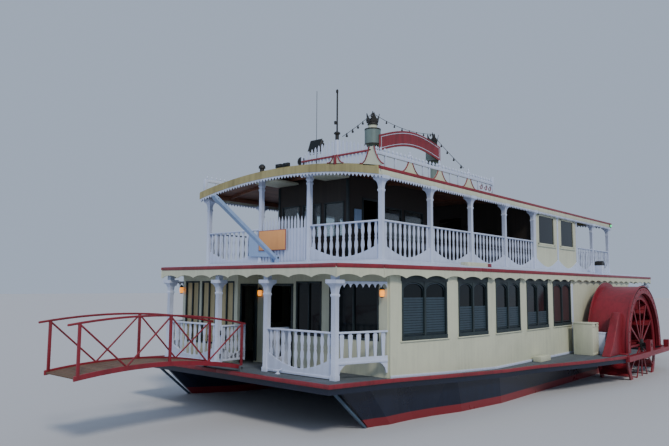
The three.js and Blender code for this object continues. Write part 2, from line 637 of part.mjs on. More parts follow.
add('roof_fence_front', frontFence(), 'white');

function sideFence() {
  const [fore, aft] = [240, -5930];
  const bell = (x) => sidePrism([[x - 560, 6900], [x - 170, 7200], [x - 60, 7420], [x + 60, 7420],
    [x + 170, 7200], [x + 560, 6900]].reverse(), 3270, 3330);
  const parts = [block(aft, fore + 30, 3270, 3330, 7350, 7400)];
  for (const x of [-1280, -2730, -4360]) parts.push(bell(x));
  for (let i = 0; i < 12; i += 1) parts.push(block(-720 - i * 430, -690 - i * 430, 3285, 3315, 6900, 7360));
  parts.push(block(aft, aft + 90, 3255, 3345, 6900, 7620), block(fore - 60, fore + 30, 3255, 3345, 6900, 7430));
  return onRoof(join(parts));
}

addPair('roof_fence', sideFence(), 'white');

// Mast, funnels and fittings on the roof

function roofPiece(name, bodies, finish) {
  add(name, onRoof(join(bodies)), finish);
}

roofPiece('mast', [lathe([[0, 0], [95, 0], [75, 1300], [28, 1450], [22, 2750], [0, 2750]],
  [-2200, 0, 7300], 12)], 'white');
roofPiece('antenna', [rod([-2350, -1000, 7250], [-2350, -1000, 8200], 22, 8),
  rod([-2350, -1000, 8150], [-2350, -1000, 10400], 9, 6)], 'white');

function funnel(x) {
  const pipe = lathe([[0, 7300], [170, 7300], [170, 8750], [270, 8780], [270, 9300], [170, 9330],
    [170, 9460], [215, 9480], [215, 9560], [0, 9560]], [x, 0, 0], 16);
  const points = [0, 1, 2, 3, 4].map((i) => {
    const angle = (i * 2 * Math.PI) / 5;
    const cone = new THREE.ConeGeometry(75, 330, 4);
    cone.rotateX(Math.PI / 2);
    cone.translate(x + 165 * Math.cos(angle), 165 * Math.sin(angle), 9680);
    return solid(cone);
  });
  return [pipe, ...points, rod([x, 0, 9500], [x, 0, 9900], 18, 6)];
}

roofPiece('funnel_fore', funnel(-4000), 'drum');
roofPiece('funnel_aft', funnel(-7700), 'drum');

function signBand() {
  const [x0, x1] = [-7740, -3970];
  const curve = (x) => {
    const t = (x1 - x) / (x1 - x0);
    return 8810 + 240 * t + 330 * Math.sin(Math.PI * t);
  };
  return sidePrism(archStrip(curve, x0, x1, 255, 255, 12), 270 + GAP, 315);
}

add('sign_band', signBand(), 'red');

roofPiece('roof_vent', [lathe([[0, 0], [120, 0], [120, 120], [100, 200], [40, 250], [0, 250]],
  [120, -830, 7280], 12)], 'dark');
roofPiece('flood_lamps', [block(60, 160, -60, 60, 7250, 7430), block(70, 180, -260, -30, 7410, 7530),
  block(70, 180, 30, 260, 7410, 7530), block(70, 100, -40, 40, 7420, 7500)], 'dark');
roofPiece('round_lamp', [rod([100, 760, 7250], [100, 760, 7400], 25, 8),
  rod([40, 760, 7470], [200, 760, 7470], 110, 16)], 'dark');
roofPiece('searchlight', [rod([-500, 700, 7200], [-500, 700, 7750], 35, 8),
  rod([-640, 700, 7880], [-340, 700, 7960], 170, 16)], 'dark');

// Side deck lockers, aft rails and stair

add('deck_locker_fore', block(-10150, -9560, 4350, 5000, DECK_Z, 2960), 'cream');
add('deck_locker_aft', block(-10450, -10170, 4550, 5200, DECK_Z, 2620), 'white');

function aftRail() {
  const [postX, postY] = [-19850, 4080];
  const bay = railBay([CABIN.aft - GAP, postY], [postX, postY], DECK_Z);
  const end = railBay([postX, postY], [postX, 700], DECK_Z);
  const newel = post(postX, 700, DECK_Z, DECK_Z + RAIL_HEIGHT + 60);
  return join([bay, end, post(postX, postY, DECK_Z, lowerTop), newel]);
}

addPair('aft_rail', aftRail(), 'white');

function stair() {
  const [foot, head] = [[-19560, 1880], [-17080 - GAP, UPPER_FLOOR]];
  const steps = 11;
  const [run, rise] = [(head[0] - foot[0]) / steps, (head[1] - foot[1]) / steps];
  const slope = Math.atan2(head[1] - foot[1], head[0] - foot[0]);
  const drop = 220 / Math.cos(slope);
  const board = [[foot[0], DECK_Z], [foot[0] + 300, DECK_Z], [head[0], head[1] - drop], [head[0], head[1]],
    [head[0] - 120, head[1]]];
  const parts = [sidePrism(board, -450, -410), sidePrism(board, 410, 450)];
  for (let i = 1; i < steps; i += 1) {
    const [x, z] = [foot[0] + run * i, foot[1] + rise * i];
    parts.push(block(x - 20, x + run - 20, -430, 430, z - 40, z));
  }
  return join(parts);
}

add('stair', stair(), 'timber');

export default ship;
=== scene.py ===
"""Looks of a twin-hulled paddle steamer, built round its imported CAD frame.

Lengths are metres. +X is the bow, +Y is port and z = 0 is the bottom of the hulls. Along the boat, places
are counted from the upper deck's front posts, and at() turns them into the frame's own.
"""
import logging
import math
from contextlib import contextmanager
from dataclasses import dataclass, field
from enum import Enum
from typing import Callable, Iterator, Sequence

import bpy
from mathutils import Matrix, Vector


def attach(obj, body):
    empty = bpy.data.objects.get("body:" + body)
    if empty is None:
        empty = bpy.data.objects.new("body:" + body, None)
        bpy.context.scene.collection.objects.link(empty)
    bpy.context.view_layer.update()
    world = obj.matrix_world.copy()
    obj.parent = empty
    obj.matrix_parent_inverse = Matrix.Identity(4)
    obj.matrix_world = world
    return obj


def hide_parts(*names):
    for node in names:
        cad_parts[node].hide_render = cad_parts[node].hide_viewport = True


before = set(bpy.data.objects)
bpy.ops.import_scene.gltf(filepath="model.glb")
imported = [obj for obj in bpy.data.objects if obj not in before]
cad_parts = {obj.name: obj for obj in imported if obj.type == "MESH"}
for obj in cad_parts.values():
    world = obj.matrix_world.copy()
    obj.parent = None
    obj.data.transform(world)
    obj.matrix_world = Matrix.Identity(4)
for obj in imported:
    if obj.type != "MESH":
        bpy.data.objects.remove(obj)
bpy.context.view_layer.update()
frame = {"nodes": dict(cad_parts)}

LOG = logging.getLogger("steamer")

Piece = bpy.types.Object
Point = Sequence[float]
Outline = Sequence[tuple[float, float]]
Drawing = list[tuple[float, float]]
Curve = Callable[[float], float]

FRONT_POSTS = 6.98
WATERLINE = 0.95
LOWER_FLOOR = 1.881
UPPER_FLOOR = 4.70
UPPER_SIDE = 3.33
UPPER_INNER = 0.945
LOWER_HEAD = 4.26
LOWER_TOP = 4.555
UPPER_HEAD = 6.79
UPPER_TOP = 6.97
RAIL_TOP = 1.05
X_AXIS, Y_AXIS, Z_AXIS = (1.0, 0.0, 0.0), (0.0, 1.0, 0.0), (0.0, 0.0, 1.0)
AFTWARDS = (-1.0, 0.0, 0.0)
BOTH = (-1, 1)

# Corners of the main deck's port edge, bow to stern: place along, half breadth and height
DECK_LINE = ((2.10, 3.52, 2.10), (0.05, 3.64, 2.02), (-2.28, 4.08, 1.95), (-4.20, 4.30, 1.88),
             (-5.60, 4.56, 1.88), (-7.70, 5.22, 1.88), (-10.095, 5.757, 1.88), (-19.95, 4.25, 1.88))


def at(x: float, y: float, z: float) -> Vector:
    """A point whose x is counted from the upper deck's front posts."""
    return Vector((x + FRONT_POSTS, y, z))


def rise(height: float) -> Vector:
    """A step straight up."""
    return Vector((0, 0, height))


def deck_height(x: float) -> float:
    """Finds the height of the main deck.

    Args:
        x: Place along the boat.

    Returns:
        The height of the deck's port edge there.
    """
    for fore, aft in zip(DECK_LINE, DECK_LINE[1:]):
        if aft[0] <= x <= fore[0]:
            return fore[2] + (aft[2] - fore[2]) * (fore[0] - x) / (fore[0] - aft[0])
    return DECK_LINE[-1][2]


# Materials


def linear(code: str) -> tuple[float, float, float, float]:
    """Turns an sRGB hex code into a linear colour.

    Args:
        code: Six hex digits.

    Returns:
        Red, green, blue and an alpha of 1.
    """
    values = [int(code[i : i + 2], 16) / 255 for i in (0, 2, 4)]
    r, g, b = (v / 12.92 if v <= 0.04045 else ((v + 0.055) / 1.055) ** 2.4 for v in values)
    return r, g, b, 1.0


def add_node(tree: bpy.types.NodeTree, kind: str, inputs: dict, **settings: object) -> bpy.types.Node:
    """Adds one shader node.

    Args:
        tree: The material's node tree.
        kind: The node's type, without the ShaderNode before it.
        inputs: Input name or number to its value, or to the output socket that feeds it.
        settings: The node's own settings.

    Returns:
        The new node.
    """
    made = tree.nodes.new(f"ShaderNode{kind}")
    for key, value in settings.items():
        setattr(made, key, value)
    for key, value in inputs.items():
        if isinstance(value, bpy.types.NodeSocket):
            tree.links.new(value, made.inputs[key])
        else:
            made.inputs[key].default_value = value
    return made


def mix(tree: bpy.types.NodeTree, factor: object, first: object, second: object,
        blend: str = "MIX") -> bpy.types.NodeSocket:
    """Mixes two colours, each a value or a socket, by a factor, and gives the socket of the result."""
    inputs = {0: factor, 6: first, 7: second}
    return add_node(tree, "Mix", inputs, data_type="RGBA", blend_type=blend).outputs[2]


@dataclass(frozen=True)
class Finish:
    """A surface: its name, sRGB colour and gloss."""

    name: str
    colour: str
    roughness: float = 0.5
    ior: float = 1.5

    def start(self) -> tuple[bpy.types.Material, bpy.types.NodeTree, bpy.types.Node, bpy.types.NodeSocket]:
        """Starts the material.

        Returns:
            The material, its node tree, its shader and the socket of its Object coordinates.
        """
        material = bpy.data.materials.new(self.name)
        material.use_nodes = True
        tree = material.node_tree
        shader = tree.nodes["Principled BSDF"]
        shader.inputs["Base Color"].default_value = linear(self.colour)
        shader.inputs["Roughness"].default_value = self.roughness
        shader.inputs["IOR"].default_value = self.ior
        return material, tree, shader, add_node(tree, "TexCoord", {}).outputs["Object"]

    def vary_gloss(self, tree: bpy.types.NodeTree, pattern: bpy.types.NodeSocket, low: float,
                   high: float) -> None:
        """Lets a pattern change the roughness.

        Args:
            tree: The material's node tree.
            pattern: Socket of the pattern, from 0 to 1.
            low: Share of the roughness where the pattern is 0.
            high: Share of it where the pattern is 1.
        """
        ends = {"Value": pattern, "To Min": self.roughness * low, "To Max": min(1.0, self.roughness * high)}
        gloss = add_node(tree, "MapRange", ends)
        tree.links.new(gloss.outputs["Result"], tree.nodes["Principled BSDF"].inputs["Roughness"])

    def make(self) -> bpy.types.Material:
        """Builds the plain finish.

        Returns:
            The material, with a faint unevenness in its gloss.
        """
        material, tree, _, place = self.start()
        blotch = add_node(tree, "TexNoise", {"Scale": 3.0, "Detail": 4.0, "Vector": place})
        self.vary_gloss(tree, blotch.outputs["Fac"], 0.75, 1.25)
        return material


@dataclass(frozen=True)
class BoatEnamel(Finish):
    """Brushed marine enamel: long brush marks, rain streaks, patches of grime, faint orange peel."""

    grime: str = "6b6a5c"
    dirt: float = 0.30
    band: str = ""
    band_top: float = 0.0

    def make(self) -> bpy.types.Material:
        """Builds the enamel.

        Returns:
            The material, with a painted band up to a height where it has one.
        """
        material, tree, shader, place = self.start()
        tall = add_node(tree, "Mapping", {"Scale": (9.0, 9.0, 0.7), "Vector": place})
        streak = add_node(tree, "TexNoise", {"Scale": 1.0, "Detail": 5.0, "Roughness": 0.6,
                                             "Vector": tall.outputs[0]})
        cloud = add_node(tree, "TexNoise", {"Scale": 0.9, "Detail": 6.0, "Roughness": 0.65, "Vector": place})
        pair = {0: streak.outputs["Fac"], 1: cloud.outputs["Fac"]}
        both = add_node(tree, "Math", pair, operation="MULTIPLY")
        amount = add_node(tree, "MapRange", {"From Min": 0.18, "From Max": 0.42, "To Max": self.dirt,
                                             "Value": both.outputs[0]})
        colour = mix(tree, amount.outputs["Result"], linear(self.colour), linear(self.grime))
        if self.band:
            split = add_node(tree, "SeparateXYZ", {0: place})
            under = add_node(tree, "Math", {0: split.outputs["Z"], 1: self.band_top}, operation="LESS_THAN")
            colour = mix(tree, under.outputs[0], colour, linear(self.band))
        tree.links.new(colour, shader.inputs["Base Color"])
        self.vary_gloss(tree, cloud.outputs["Fac"], 0.8, 1.5)
        # Orange peel is about 2 mm across; it is drawn at 12 mm so that it shows
        peel = add_node(tree, "TexNoise", {"Scale": 80.0, "Detail": 2.0, "Vector": place})
        bump = add_node(tree, "Bump", {"Strength": 0.25, "Distance": 0.002, "Height": peel.outputs["Fac"]})
        tree.links.new(bump.outputs[0], shader.inputs["Normal"])
        return material


@dataclass(frozen=True)
class Planking(Finish):
    """Boards with dark seams, a tint of their own each, and grain along them."""

    seam: str = "2a211b"
    second: str = "7d6450"
    width: float = 0.12
    length: float = 2.4
    turn: float = 0.0

    def make(self) -> bpy.types.Material:
        """Builds the boards.

        Returns:
            The material, its boards along x, or along y where turn is a quarter turn.
        """
        material, tree, shader, place = self.start()
        lay = add_node(tree, "Mapping", {"Rotation": (0.0, 0.0, self.turn), "Vector": place})
        boards = add_node(tree, "TexBrick", {
            "Color1": linear(self.colour), "Color2": linear(self.second), "Mortar": linear(self.seam),
            "Scale": 1.0, "Mortar Size": 0.004, "Brick Width": self.length, "Row Height": self.width,
            "Vector": lay.outputs[0],
        }, offset=0.37)
        long = add_node(tree, "Mapping", {"Scale": (2.0, 60.0, 60.0), "Vector": lay.outputs[0]})
        grain = add_node(tree, "TexNoise", {"Scale": 1.0, "Detail": 6.0, "Vector": long.outputs[0]})
        wood = mix(tree, 0.45, boards.outputs["Color"], grain.outputs["Color"], "MULTIPLY")
        tree.links.new(wood, shader.inputs["Base Color"])
        seams = {"Strength": 0.4, "Distance": 0.003, "Height": boards.outputs["Fac"]}
        bump = add_node(tree, "Bump", seams, invert=True)
        tree.links.new(bump.outputs[0], shader.inputs["Normal"])
        return material


@dataclass(frozen=True)
class PaintedShadePane(Finish):
    """Opaque pane, smooth and nearly black: painted shade of the unlit room behind the window, as dusk glass
    looks from outside.
    """

    # Darker colour of the painted shade, mixed in by cloudy patches
    depth: str = "080c0e"

    def make(self) -> bpy.types.Material:
        """Builds the glass.

        Returns:
            The material, darker in cloudy patches.
        """
        material, tree, shader, place = self.start()
        blotch = add_node(tree, "TexNoise", {"Scale": 0.8, "Detail": 3.0, "Vector": place})
        tint = mix(tree, blotch.outputs["Fac"], linear(self.depth), linear(self.colour))
        tree.links.new(tint, shader.inputs["Base Color"])
        shader.inputs["Coat Weight"].default_value = 0.12
        shader.inputs["Coat Roughness"].default_value = 0.05
        return material


@dataclass(frozen=True)
class ClearGlass(Finish):
    """Thin float glass that daylight passes through, with rain marks that dull it in patches."""

    clearness: float = 0.95

    def make(self) -> bpy.types.Material:
        """Builds the glass.

        Returns:
            The plain finish, all but clear.
        """
        material = Finish.make(self)
        shader = material.node_tree.nodes["Principled BSDF"]
        shader.inputs["Transmission Weight"].default_value = self.clearness
        return material


@dataclass(frozen=True)
class Glow(Finish):
    """Lamp glass lit from inside."""

    strength: float = 1.7

    def make(self) -> bpy.types.Material:
        """Builds the lit glass.

        Returns:
            The material, brighter where its mottled glass is thin.
        """
        material, tree, shader, place = self.start()
        mottle = add_node(tree, "TexNoise", {"Scale": 30.0, "Vector": place})
        light = add_node(tree, "MapRange", {"To Min": self.strength * 0.6, "To Max": self.strength,
                                            "Value": mottle.outputs["Fac"]})
        shader.inputs["Emission Color"].default_value = linear(self.colour)
        tree.links.new(light.outputs["Result"], shader.inputs["Emission Strength"])
        return material


ACROSS = math.pi / 2


class Look(Enum):
    """Every finish on the boat, with the name of the slot that it belongs to."""

    # Glossy navy topsides with a red boot-top, the darkest and shiniest paint on the boat
    HULL = (BoatEnamel("navy_hull_enamel", "081127", 0.25, grime="14203a", dirt=0.5, band="7a2029",
                       band_top=1.15), "hull_paint")
    STRAKE = (BoatEnamel("navy_strake_enamel", "081127", 0.3, grime="14203a", dirt=0.5), "hull_paint")
    # Paler bar that draws each raked stem's line
    STEM = (BoatEnamel("slate_blue_enamel", "40566b", 0.4, grime="2c3a49", dirt=0.5), "hull_paint")
    # Deep red that fades to brown where grime gathers, as on wheels, covers and mouldings
    RED = (BoatEnamel("red_enamel", "84202d", 0.38, grime="4b151c", dirt=0.6), "red_paint")
    # Chalky cream walls with faint grey streaks; their colour is greyed towards the blue-green of the dusk
    # shade, so it is partly cream paint and partly painted shade
    CREAM = (BoatEnamel("cream_enamel_part_painted_shade", "c6cab4", 0.5, grime="8f9487", dirt=0.35), "cream_paint")
    # White rails and posts with the evening sky's blue painted into their colour: painted shade
    WHITE = (BoatEnamel("white_enamel_painted_sky_blue", "c2cde6", 0.42, grime="8792a8", dirt=0.35), "white_paint")
    SKY = (BoatEnamel("light_blue_enamel", "8fa9cd", 0.4, grime="6d83a2", dirt=0.35), "white_paint")
    # Dull ochre roof, blotched by weather
    ROOF = (BoatEnamel("weathered_roof_enamel", "a39a6b", 0.6, grime="6b6242", dirt=0.7), "roof_paint")
    # Warm boards seen from below, along the boat
    CEILING = (Planking("ceiling_boards", "7d5341", 0.55, second="93644e", seam="2a1a13", width=0.10,
                        length=3.0), "timber")
    # Worn brown planks laid across the walk
    GANG_PLANK = (Planking("gangway_planks", "6d5340", 0.7, second="806550", width=0.14, length=1.6,
                           turn=ACROSS), "timber")
    STAIR_WOOD = (Planking("stair_treads", "6b5342", 0.65, second="7b614d", width=0.15, length=1.2,
                           turn=ACROSS), "timber")
    # Matt grey boards whose dark seams give the deck its scale
    DECK = (Planking("grey_deck_boards", "565f69", 0.75, second="646d76", seam="2b3036", width=0.15,
                     length=3.6), "deck_paint")
    # Soft black of lamps, crowns and ironwork, with dust on it
    BLACK = (BoatEnamel("black_enamel", "15171a", 0.45, grime="3a3733", dirt=0.5), "dark_metal")
    # Window frames a shade lighter than the glass, and greyer louvres that catch the light
    FRAME = (BoatEnamel("dark_sash_enamel", "1d2a2e", 0.45, grime="35464a", dirt=0.5), "dark_metal")
    LOUVRE = (BoatEnamel("slate_louvre_enamel", "2f404c", 0.45, grime="1f2b34", dirt=0.6), "dark_metal")
    # Deckhouse panes that one sees through
    CLEAR = (ClearGlass("float_glass", "dfe9ea", 0.03, ior=1.45), "dark_metal")
    # Cabin panes that mirror the sky faintly and show nothing behind: nearly black, as painted shade of the
    # unlit rooms behind them
    GLASS = (PaintedShadePane("pane_painted_interior_shade", "121a1e", 0.12, ior=1.30), "dark_metal")
    # Cloth with no gloss: lit blinds and dark curtains behind the glass
    BLIND = (BoatEnamel("cream_blind_cloth", "b9ad86", 0.7, grime="8d8263", dirt=0.5), "cream_paint")
    CURTAIN = (BoatEnamel("maroon_curtain_cloth", "3d2226", 0.85, grime="24151a", dirt=0.8), "dark_metal")
    # The only lights aboard: amber carriage lamps and a green side lamp
    LAMP = (Glow("amber_lamp_glass", "ff9a26", 0.3), "dark_metal")
    GREEN_LAMP = (Glow("green_lamp_glass", "22e08a", 0.3, strength=1.6), "dark_metal")
    # Oily grey of the engine's casing
    ENGINE = (BoatEnamel("machine_enamel", "6d7378", 0.5, grime="3d3a34", dirt=0.6), "machine_grey")
    # Grey-green with a low sheen that shows the funnels' round
    FUNNEL = (BoatEnamel("grey_green_enamel", "6b7f80", 0.45, grime="434f50", dirt=0.5), "funnel_paint")
    # The bow board's bright patch
    OCHRE = (BoatEnamel("ochre_board_enamel", "e09e60", 0.5, grime="c07f4c", dirt=0.5), "red_paint")
    # Nearly black boards: painted shade that lets the open deck look deep
    PANEL = (Planking("bulkhead_boards_painted_shade", "2c2521", 0.6, second="352d27", seam="120e0c", width=0.14,
                      length=3.0), "timber")

    @property
    def slot(self) -> str:
        """The finish's material slot."""
        return self.value[1]

    @property
    def material(self) -> bpy.types.Material:
        """The finish's material, made on first use."""
        finish = self.value[0]
        return bpy.data.materials.get(finish.name) or finish.make()


# Modelling, as by hand


def select_only(*pieces: Piece) -> None:
    """Selects these pieces alone and makes the first active."""
    bpy.ops.object.select_all(action="DESELECT")
    for piece in pieces:
        piece.select_set(True)
    bpy.context.view_layer.objects.active = pieces[0]


@contextmanager
def editing(piece: Piece) -> Iterator[None]:
    """Holds a mesh in edit mode with all of it selected.

    Args:
        piece: The piece to edit.

    Yields:
        Nothing; the piece is back in object mode afterwards.
    """
    select_only(piece)
    bpy.ops.object.mode_set(mode="EDIT")
    bpy.ops.mesh.select_all(action="SELECT")
    yield
    bpy.ops.object.mode_set(mode="OBJECT")


def modify(piece: Piece, kind: str, **settings: object) -> Piece:
    """Adds a modifier and applies it.

    Args:
        piece: The piece to change.
        kind: The modifier's type.
        settings: The modifier's settings.

    Returns:
        The same piece.
    """
    select_only(piece)
    bpy.ops.object.modifier_add(type=kind)
    modifier = piece.modifiers[-1]
    for key, value in settings.items():
        setattr(modifier, key, value)
    bpy.ops.object.modifier_apply(modifier=modifier.name)
    return piece


def soften(piece: Piece, width: float, segments: int = 2) -> Piece:
    """Rounds the sharp edges of a piece."""
    return modify(piece, "BEVEL", width=width, segments=segments, limit_method="ANGLE",
                  angle_limit=math.radians(40))


def place(piece: Piece, origin: Point, along: Point, up: Point) -> Piece:
    """Moves a mesh from its drawing plane to its place.

    Args:
        piece: The piece, drawn with u along x and v along y.
        origin: Where u = v = 0 goes.
        along: The way that u then runs.
        up: The way that v then runs.

    Returns:
        The same piece.
    """
    u = Vector(along).normalized()
    v = Vector(up).normalized()
    turn = Matrix((u, v, u.cross(v))).transposed().to_4x4()
    piece.data.transform(Matrix.Translation(Vector(origin)) @ turn)
    return piece


def polygon(points: Sequence[Point], fill: str = "NGON") -> Piece:
    """Draws a polygon.

    Args:
        points: Its corners in order.
        fill: NGON for a face, NOTHING for the line alone.

    Returns:
        The polygon, active.
    """
    bpy.ops.mesh.primitive_circle_add(vertices=len(points), fill_type=fill)
    piece = bpy.context.active_object
    for vertex, point in zip(piece.data.vertices, points):
        vertex.co = point
    return piece


def board(outline: Outline, thickness: float, origin: Point = (0, 0, 0), along: Point = X_AXIS,
          up: Point = Z_AXIS, edge: float = 0.0) -> Piece:
    """Saws a board to an outline.

    Args:
        outline: Points (u, v) round the board.
        thickness: How thick it is, half to each side of the origin.
        origin: Where u = v = 0 lies.
        along: The way that u runs.
        up: The way that v runs.
        edge: Width of the softened edges, 0 for sharp ones.

    Returns:
        The board.
    """
    piece = polygon([(u, v, -thickness / 2) for u, v in outline])
    with editing(piece):
        bpy.ops.mesh.extrude_region_move(TRANSFORM_OT_translate={"value": (0, 0, thickness)})
        bpy.ops.mesh.select_all(action="SELECT")
        bpy.ops.mesh.normals_make_consistent(inside=False)
    if edge:
        soften(piece, edge, 1)
    return place(piece, origin, along, up)


def block(low: Point, high: Point, edge: float = 0.004) -> Piece:
    """Makes a square timber or plate.

    Args:
        low: Its corner with the lowest x, y and z.
        high: The corner across from it.
        edge: Width of the softened edges, 0 for sharp ones.

    Returns:
        The timber.
    """
    low, high = Vector(low), Vector(high)
    bpy.ops.mesh.primitive_cube_add(size=1, location=(low + high) / 2)
    piece = bpy.context.active_object
    piece.scale = high - low
    select_only(piece)
    bpy.ops.object.transform_apply(location=True, rotation=True, scale=True)
    return soften(piece, edge) if edge else piece


def beam(start: Point, end: Point, width: float, height: float, edge: float = 0.004) -> Piece:
    """Makes a straight square bar.

    Args:
        start: Middle of one end.
        end: Middle of the other.
        width: Its size across.
        height: Its size upright.
        edge: Width of the softened edges.

    Returns:
        The bar.
    """
    start, end = Vector(start), Vector(end)
    piece = block((0, -width / 2, -height / 2), ((end - start).length, width / 2, height / 2), edge)
    along = (end - start).normalized()
    return place(piece, start, along, Vector(Z_AXIS).cross(along).normalized())


def rod(start: Point, end: Point, radius: float, sides: int = 12) -> Piece:
    """Makes a round bar, its ends eased where it is thick.

    Args:
        start: Middle of one end.
        end: Middle of the other.
        radius: Its radius.
        sides: Faces round it.

    Returns:
        The bar.
    """
    start, end = Vector(start), Vector(end)
    bpy.ops.mesh.primitive_cylinder_add(vertices=sides, radius=radius, depth=(end - start).length)
    piece = bpy.context.active_object
    turn = Vector(Z_AXIS).rotation_difference(end - start).to_matrix().to_4x4()
    if radius > 0.02:
        soften(piece, radius * 0.12, 1)
    piece.data.transform(Matrix.Translation((start + end) / 2) @ turn)
    return piece


def pipe(points: Sequence[Point], radius: float, sides: int = 3) -> Piece:
    """Bends a round bar or wire through points.

    Args:
        points: The middle of the wire from end to end.
        radius: Its radius.
        sides: How finely it is rounded.

    Returns:
        The wire.
    """
    bpy.ops.curve.primitive_bezier_curve_add()
    piece = bpy.context.active_object
    curve = piece.data
    curve.splines.clear()
    spline = curve.splines.new("POLY")
    spline.points.add(len(points) - 1)
    for knot, point in zip(spline.points, points):
        knot.co = (*point, 1.0)
    curve.bevel_depth = radius
    curve.bevel_resolution = sides
    curve.use_fill_caps = True
    select_only(piece)
    bpy.ops.object.convert(target="MESH")
    return bpy.context.active_object


def ribbon(line: Sequence[Point], foot: float, top: float, thickness: float, edge: float) -> Piece:
    """Bends a flat bar along a line.

    Args:
        line: Points along the bar's outer face.
        foot: Its lower edge, counted from the line.
        top: Its upper edge, counted from the line.
        thickness: How far it reaches in from the face.
        edge: Width of its softened edges, 0 for sharp ones.

    Returns:
        The bar.
    """
    bpy.ops.mesh.primitive_grid_add(x_subdivisions=len(line) - 1, y_subdivisions=1)
    piece = bpy.context.active_object
    for i, point in enumerate(line):
        for row, lift in ((0, foot), (1, top)):
            piece.data.vertices[row * len(line) + i].co = Vector(point) + rise(lift)
    modify(piece, "SOLIDIFY", thickness=thickness, offset=-1.0, use_even_offset=True)
    with editing(piece):
        bpy.ops.mesh.normals_make_consistent(inside=False)
    return soften(piece, edge) if edge else piece


def turned(profile: Outline, origin: Point, sides: int = 32, axis: Point = Z_AXIS,
           twist: float = 0.0) -> Piece:
    """Turns a closed profile of (radius, height) about an axis through origin.

    Args:
        profile: Points from the axis out and back to it.
        origin: Where the height is 0.
        sides: Faces round it; 4 gives a square piece.
        axis: The way that the height runs.
        twist: Turn about the axis, in radians.

    Returns:
        The turned piece.
    """
    piece = polygon([(radius, 0, height) for radius, height in profile], "NOTHING")
    modify(piece, "SCREW", steps=sides, render_steps=sides, use_merge_vertices=True, merge_threshold=1e-4)
    with editing(piece):
        bpy.ops.mesh.remove_doubles(threshold=1e-4)
        bpy.ops.mesh.dissolve_degenerate(threshold=1e-5)
        bpy.ops.mesh.normals_make_consistent(inside=False)
    turn = Vector(Z_AXIS).rotation_difference(Vector(axis)).to_matrix().to_4x4()
    piece.data.transform(Matrix.Translation(Vector(origin)) @ turn @ Matrix.Rotation(twist, 4, "Z"))
    return piece


def sheet(corners: Sequence[Point], thickness: float = 0.02) -> Piece:
    """Lays a thin plate through corners that need not lie in one plane.

    Args:
        corners: The plate's corners in order.
        thickness: How thick it is.

    Returns:
        The plate.
    """
    piece = polygon(corners)
    with editing(piece):
        bpy.ops.mesh.quads_convert_to_tris()
    return modify(piece, "SOLIDIFY", thickness=thickness, offset=0.0)


def repeat(piece: Piece, count: int, step: Point) -> Piece:
    """Sets count pieces in a row, a step apart, as one piece."""
    return modify(piece, "ARRAY", count=count, use_relative_offset=False, use_constant_offset=True,
                  constant_offset_displace=Vector(step))


def copy_of(piece: Piece, change: Matrix) -> Piece:
    """Copies a piece with its mesh.

    Args:
        piece: The piece to copy, which stays.
        change: Matrix that moves, turns or mirrors the copy.

    Returns:
        The copy.
    """
    twin = piece.copy()
    twin.data = piece.data.copy()
    bpy.context.scene.collection.objects.link(twin)
    twin.data.transform(change)
    if change.determinant() < 0:
        twin.data.flip_normals()
    return twin


def around(piece: Piece, count: int, centre: Point, axis: Point) -> list[Piece]:
    """Copies a piece evenly round an axis.

    Args:
        piece: The first piece.
        count: How many there are with it.
        centre: A point on the axis.
        axis: The axis's direction.

    Returns:
        The piece and its copies.
    """
    middle = Matrix.Translation(Vector(centre))
    turns = [Matrix.Rotation(2 * math.pi * i / count, 4, Vector(axis)) for i in range(1, count)]
    return [piece] + [copy_of(piece, middle @ turn @ middle.inverted()) for turn in turns]


def arc(radius: float, start: float, end: float, steps: int, centre: Point = (0, 0)) -> Drawing:
    """Points on an arc, from one angle to another in degrees."""
    angles = [math.radians(start + (end - start) * i / steps) for i in range(steps + 1)]
    return [(centre[0] + radius * math.cos(a), centre[1] + radius * math.sin(a)) for a in angles]


def square(u0: float, u1: float, v0: float, v1: float) -> Drawing:
    """Outline of a rectangle."""
    return [(u0, v0), (u1, v0), (u1, v1), (u0, v1)]


def frame_bars(u0: float, u1: float, v0: float, v1: float, bar: float) -> list[tuple[float, ...]]:
    """Both uprights, the foot and the head of a window's frame, as their sides, feet and tops."""
    uprights = [(u0, u0 + bar, v0, v1), (u1 - bar, u1, v0, v1)]
    return uprights + [(u0, u1, v0, v0 + bar), (u0, u1, v1 - bar, v1)]


def in_frame(outline: Outline) -> Drawing:
    """An outline drawn along the boat, with its u in the frame's own x."""
    return [(u + FRONT_POSTS, v) for u, v in outline]


PORT_TO_STARBOARD = Matrix.Scale(-1, 4, Vector(Y_AXIS))


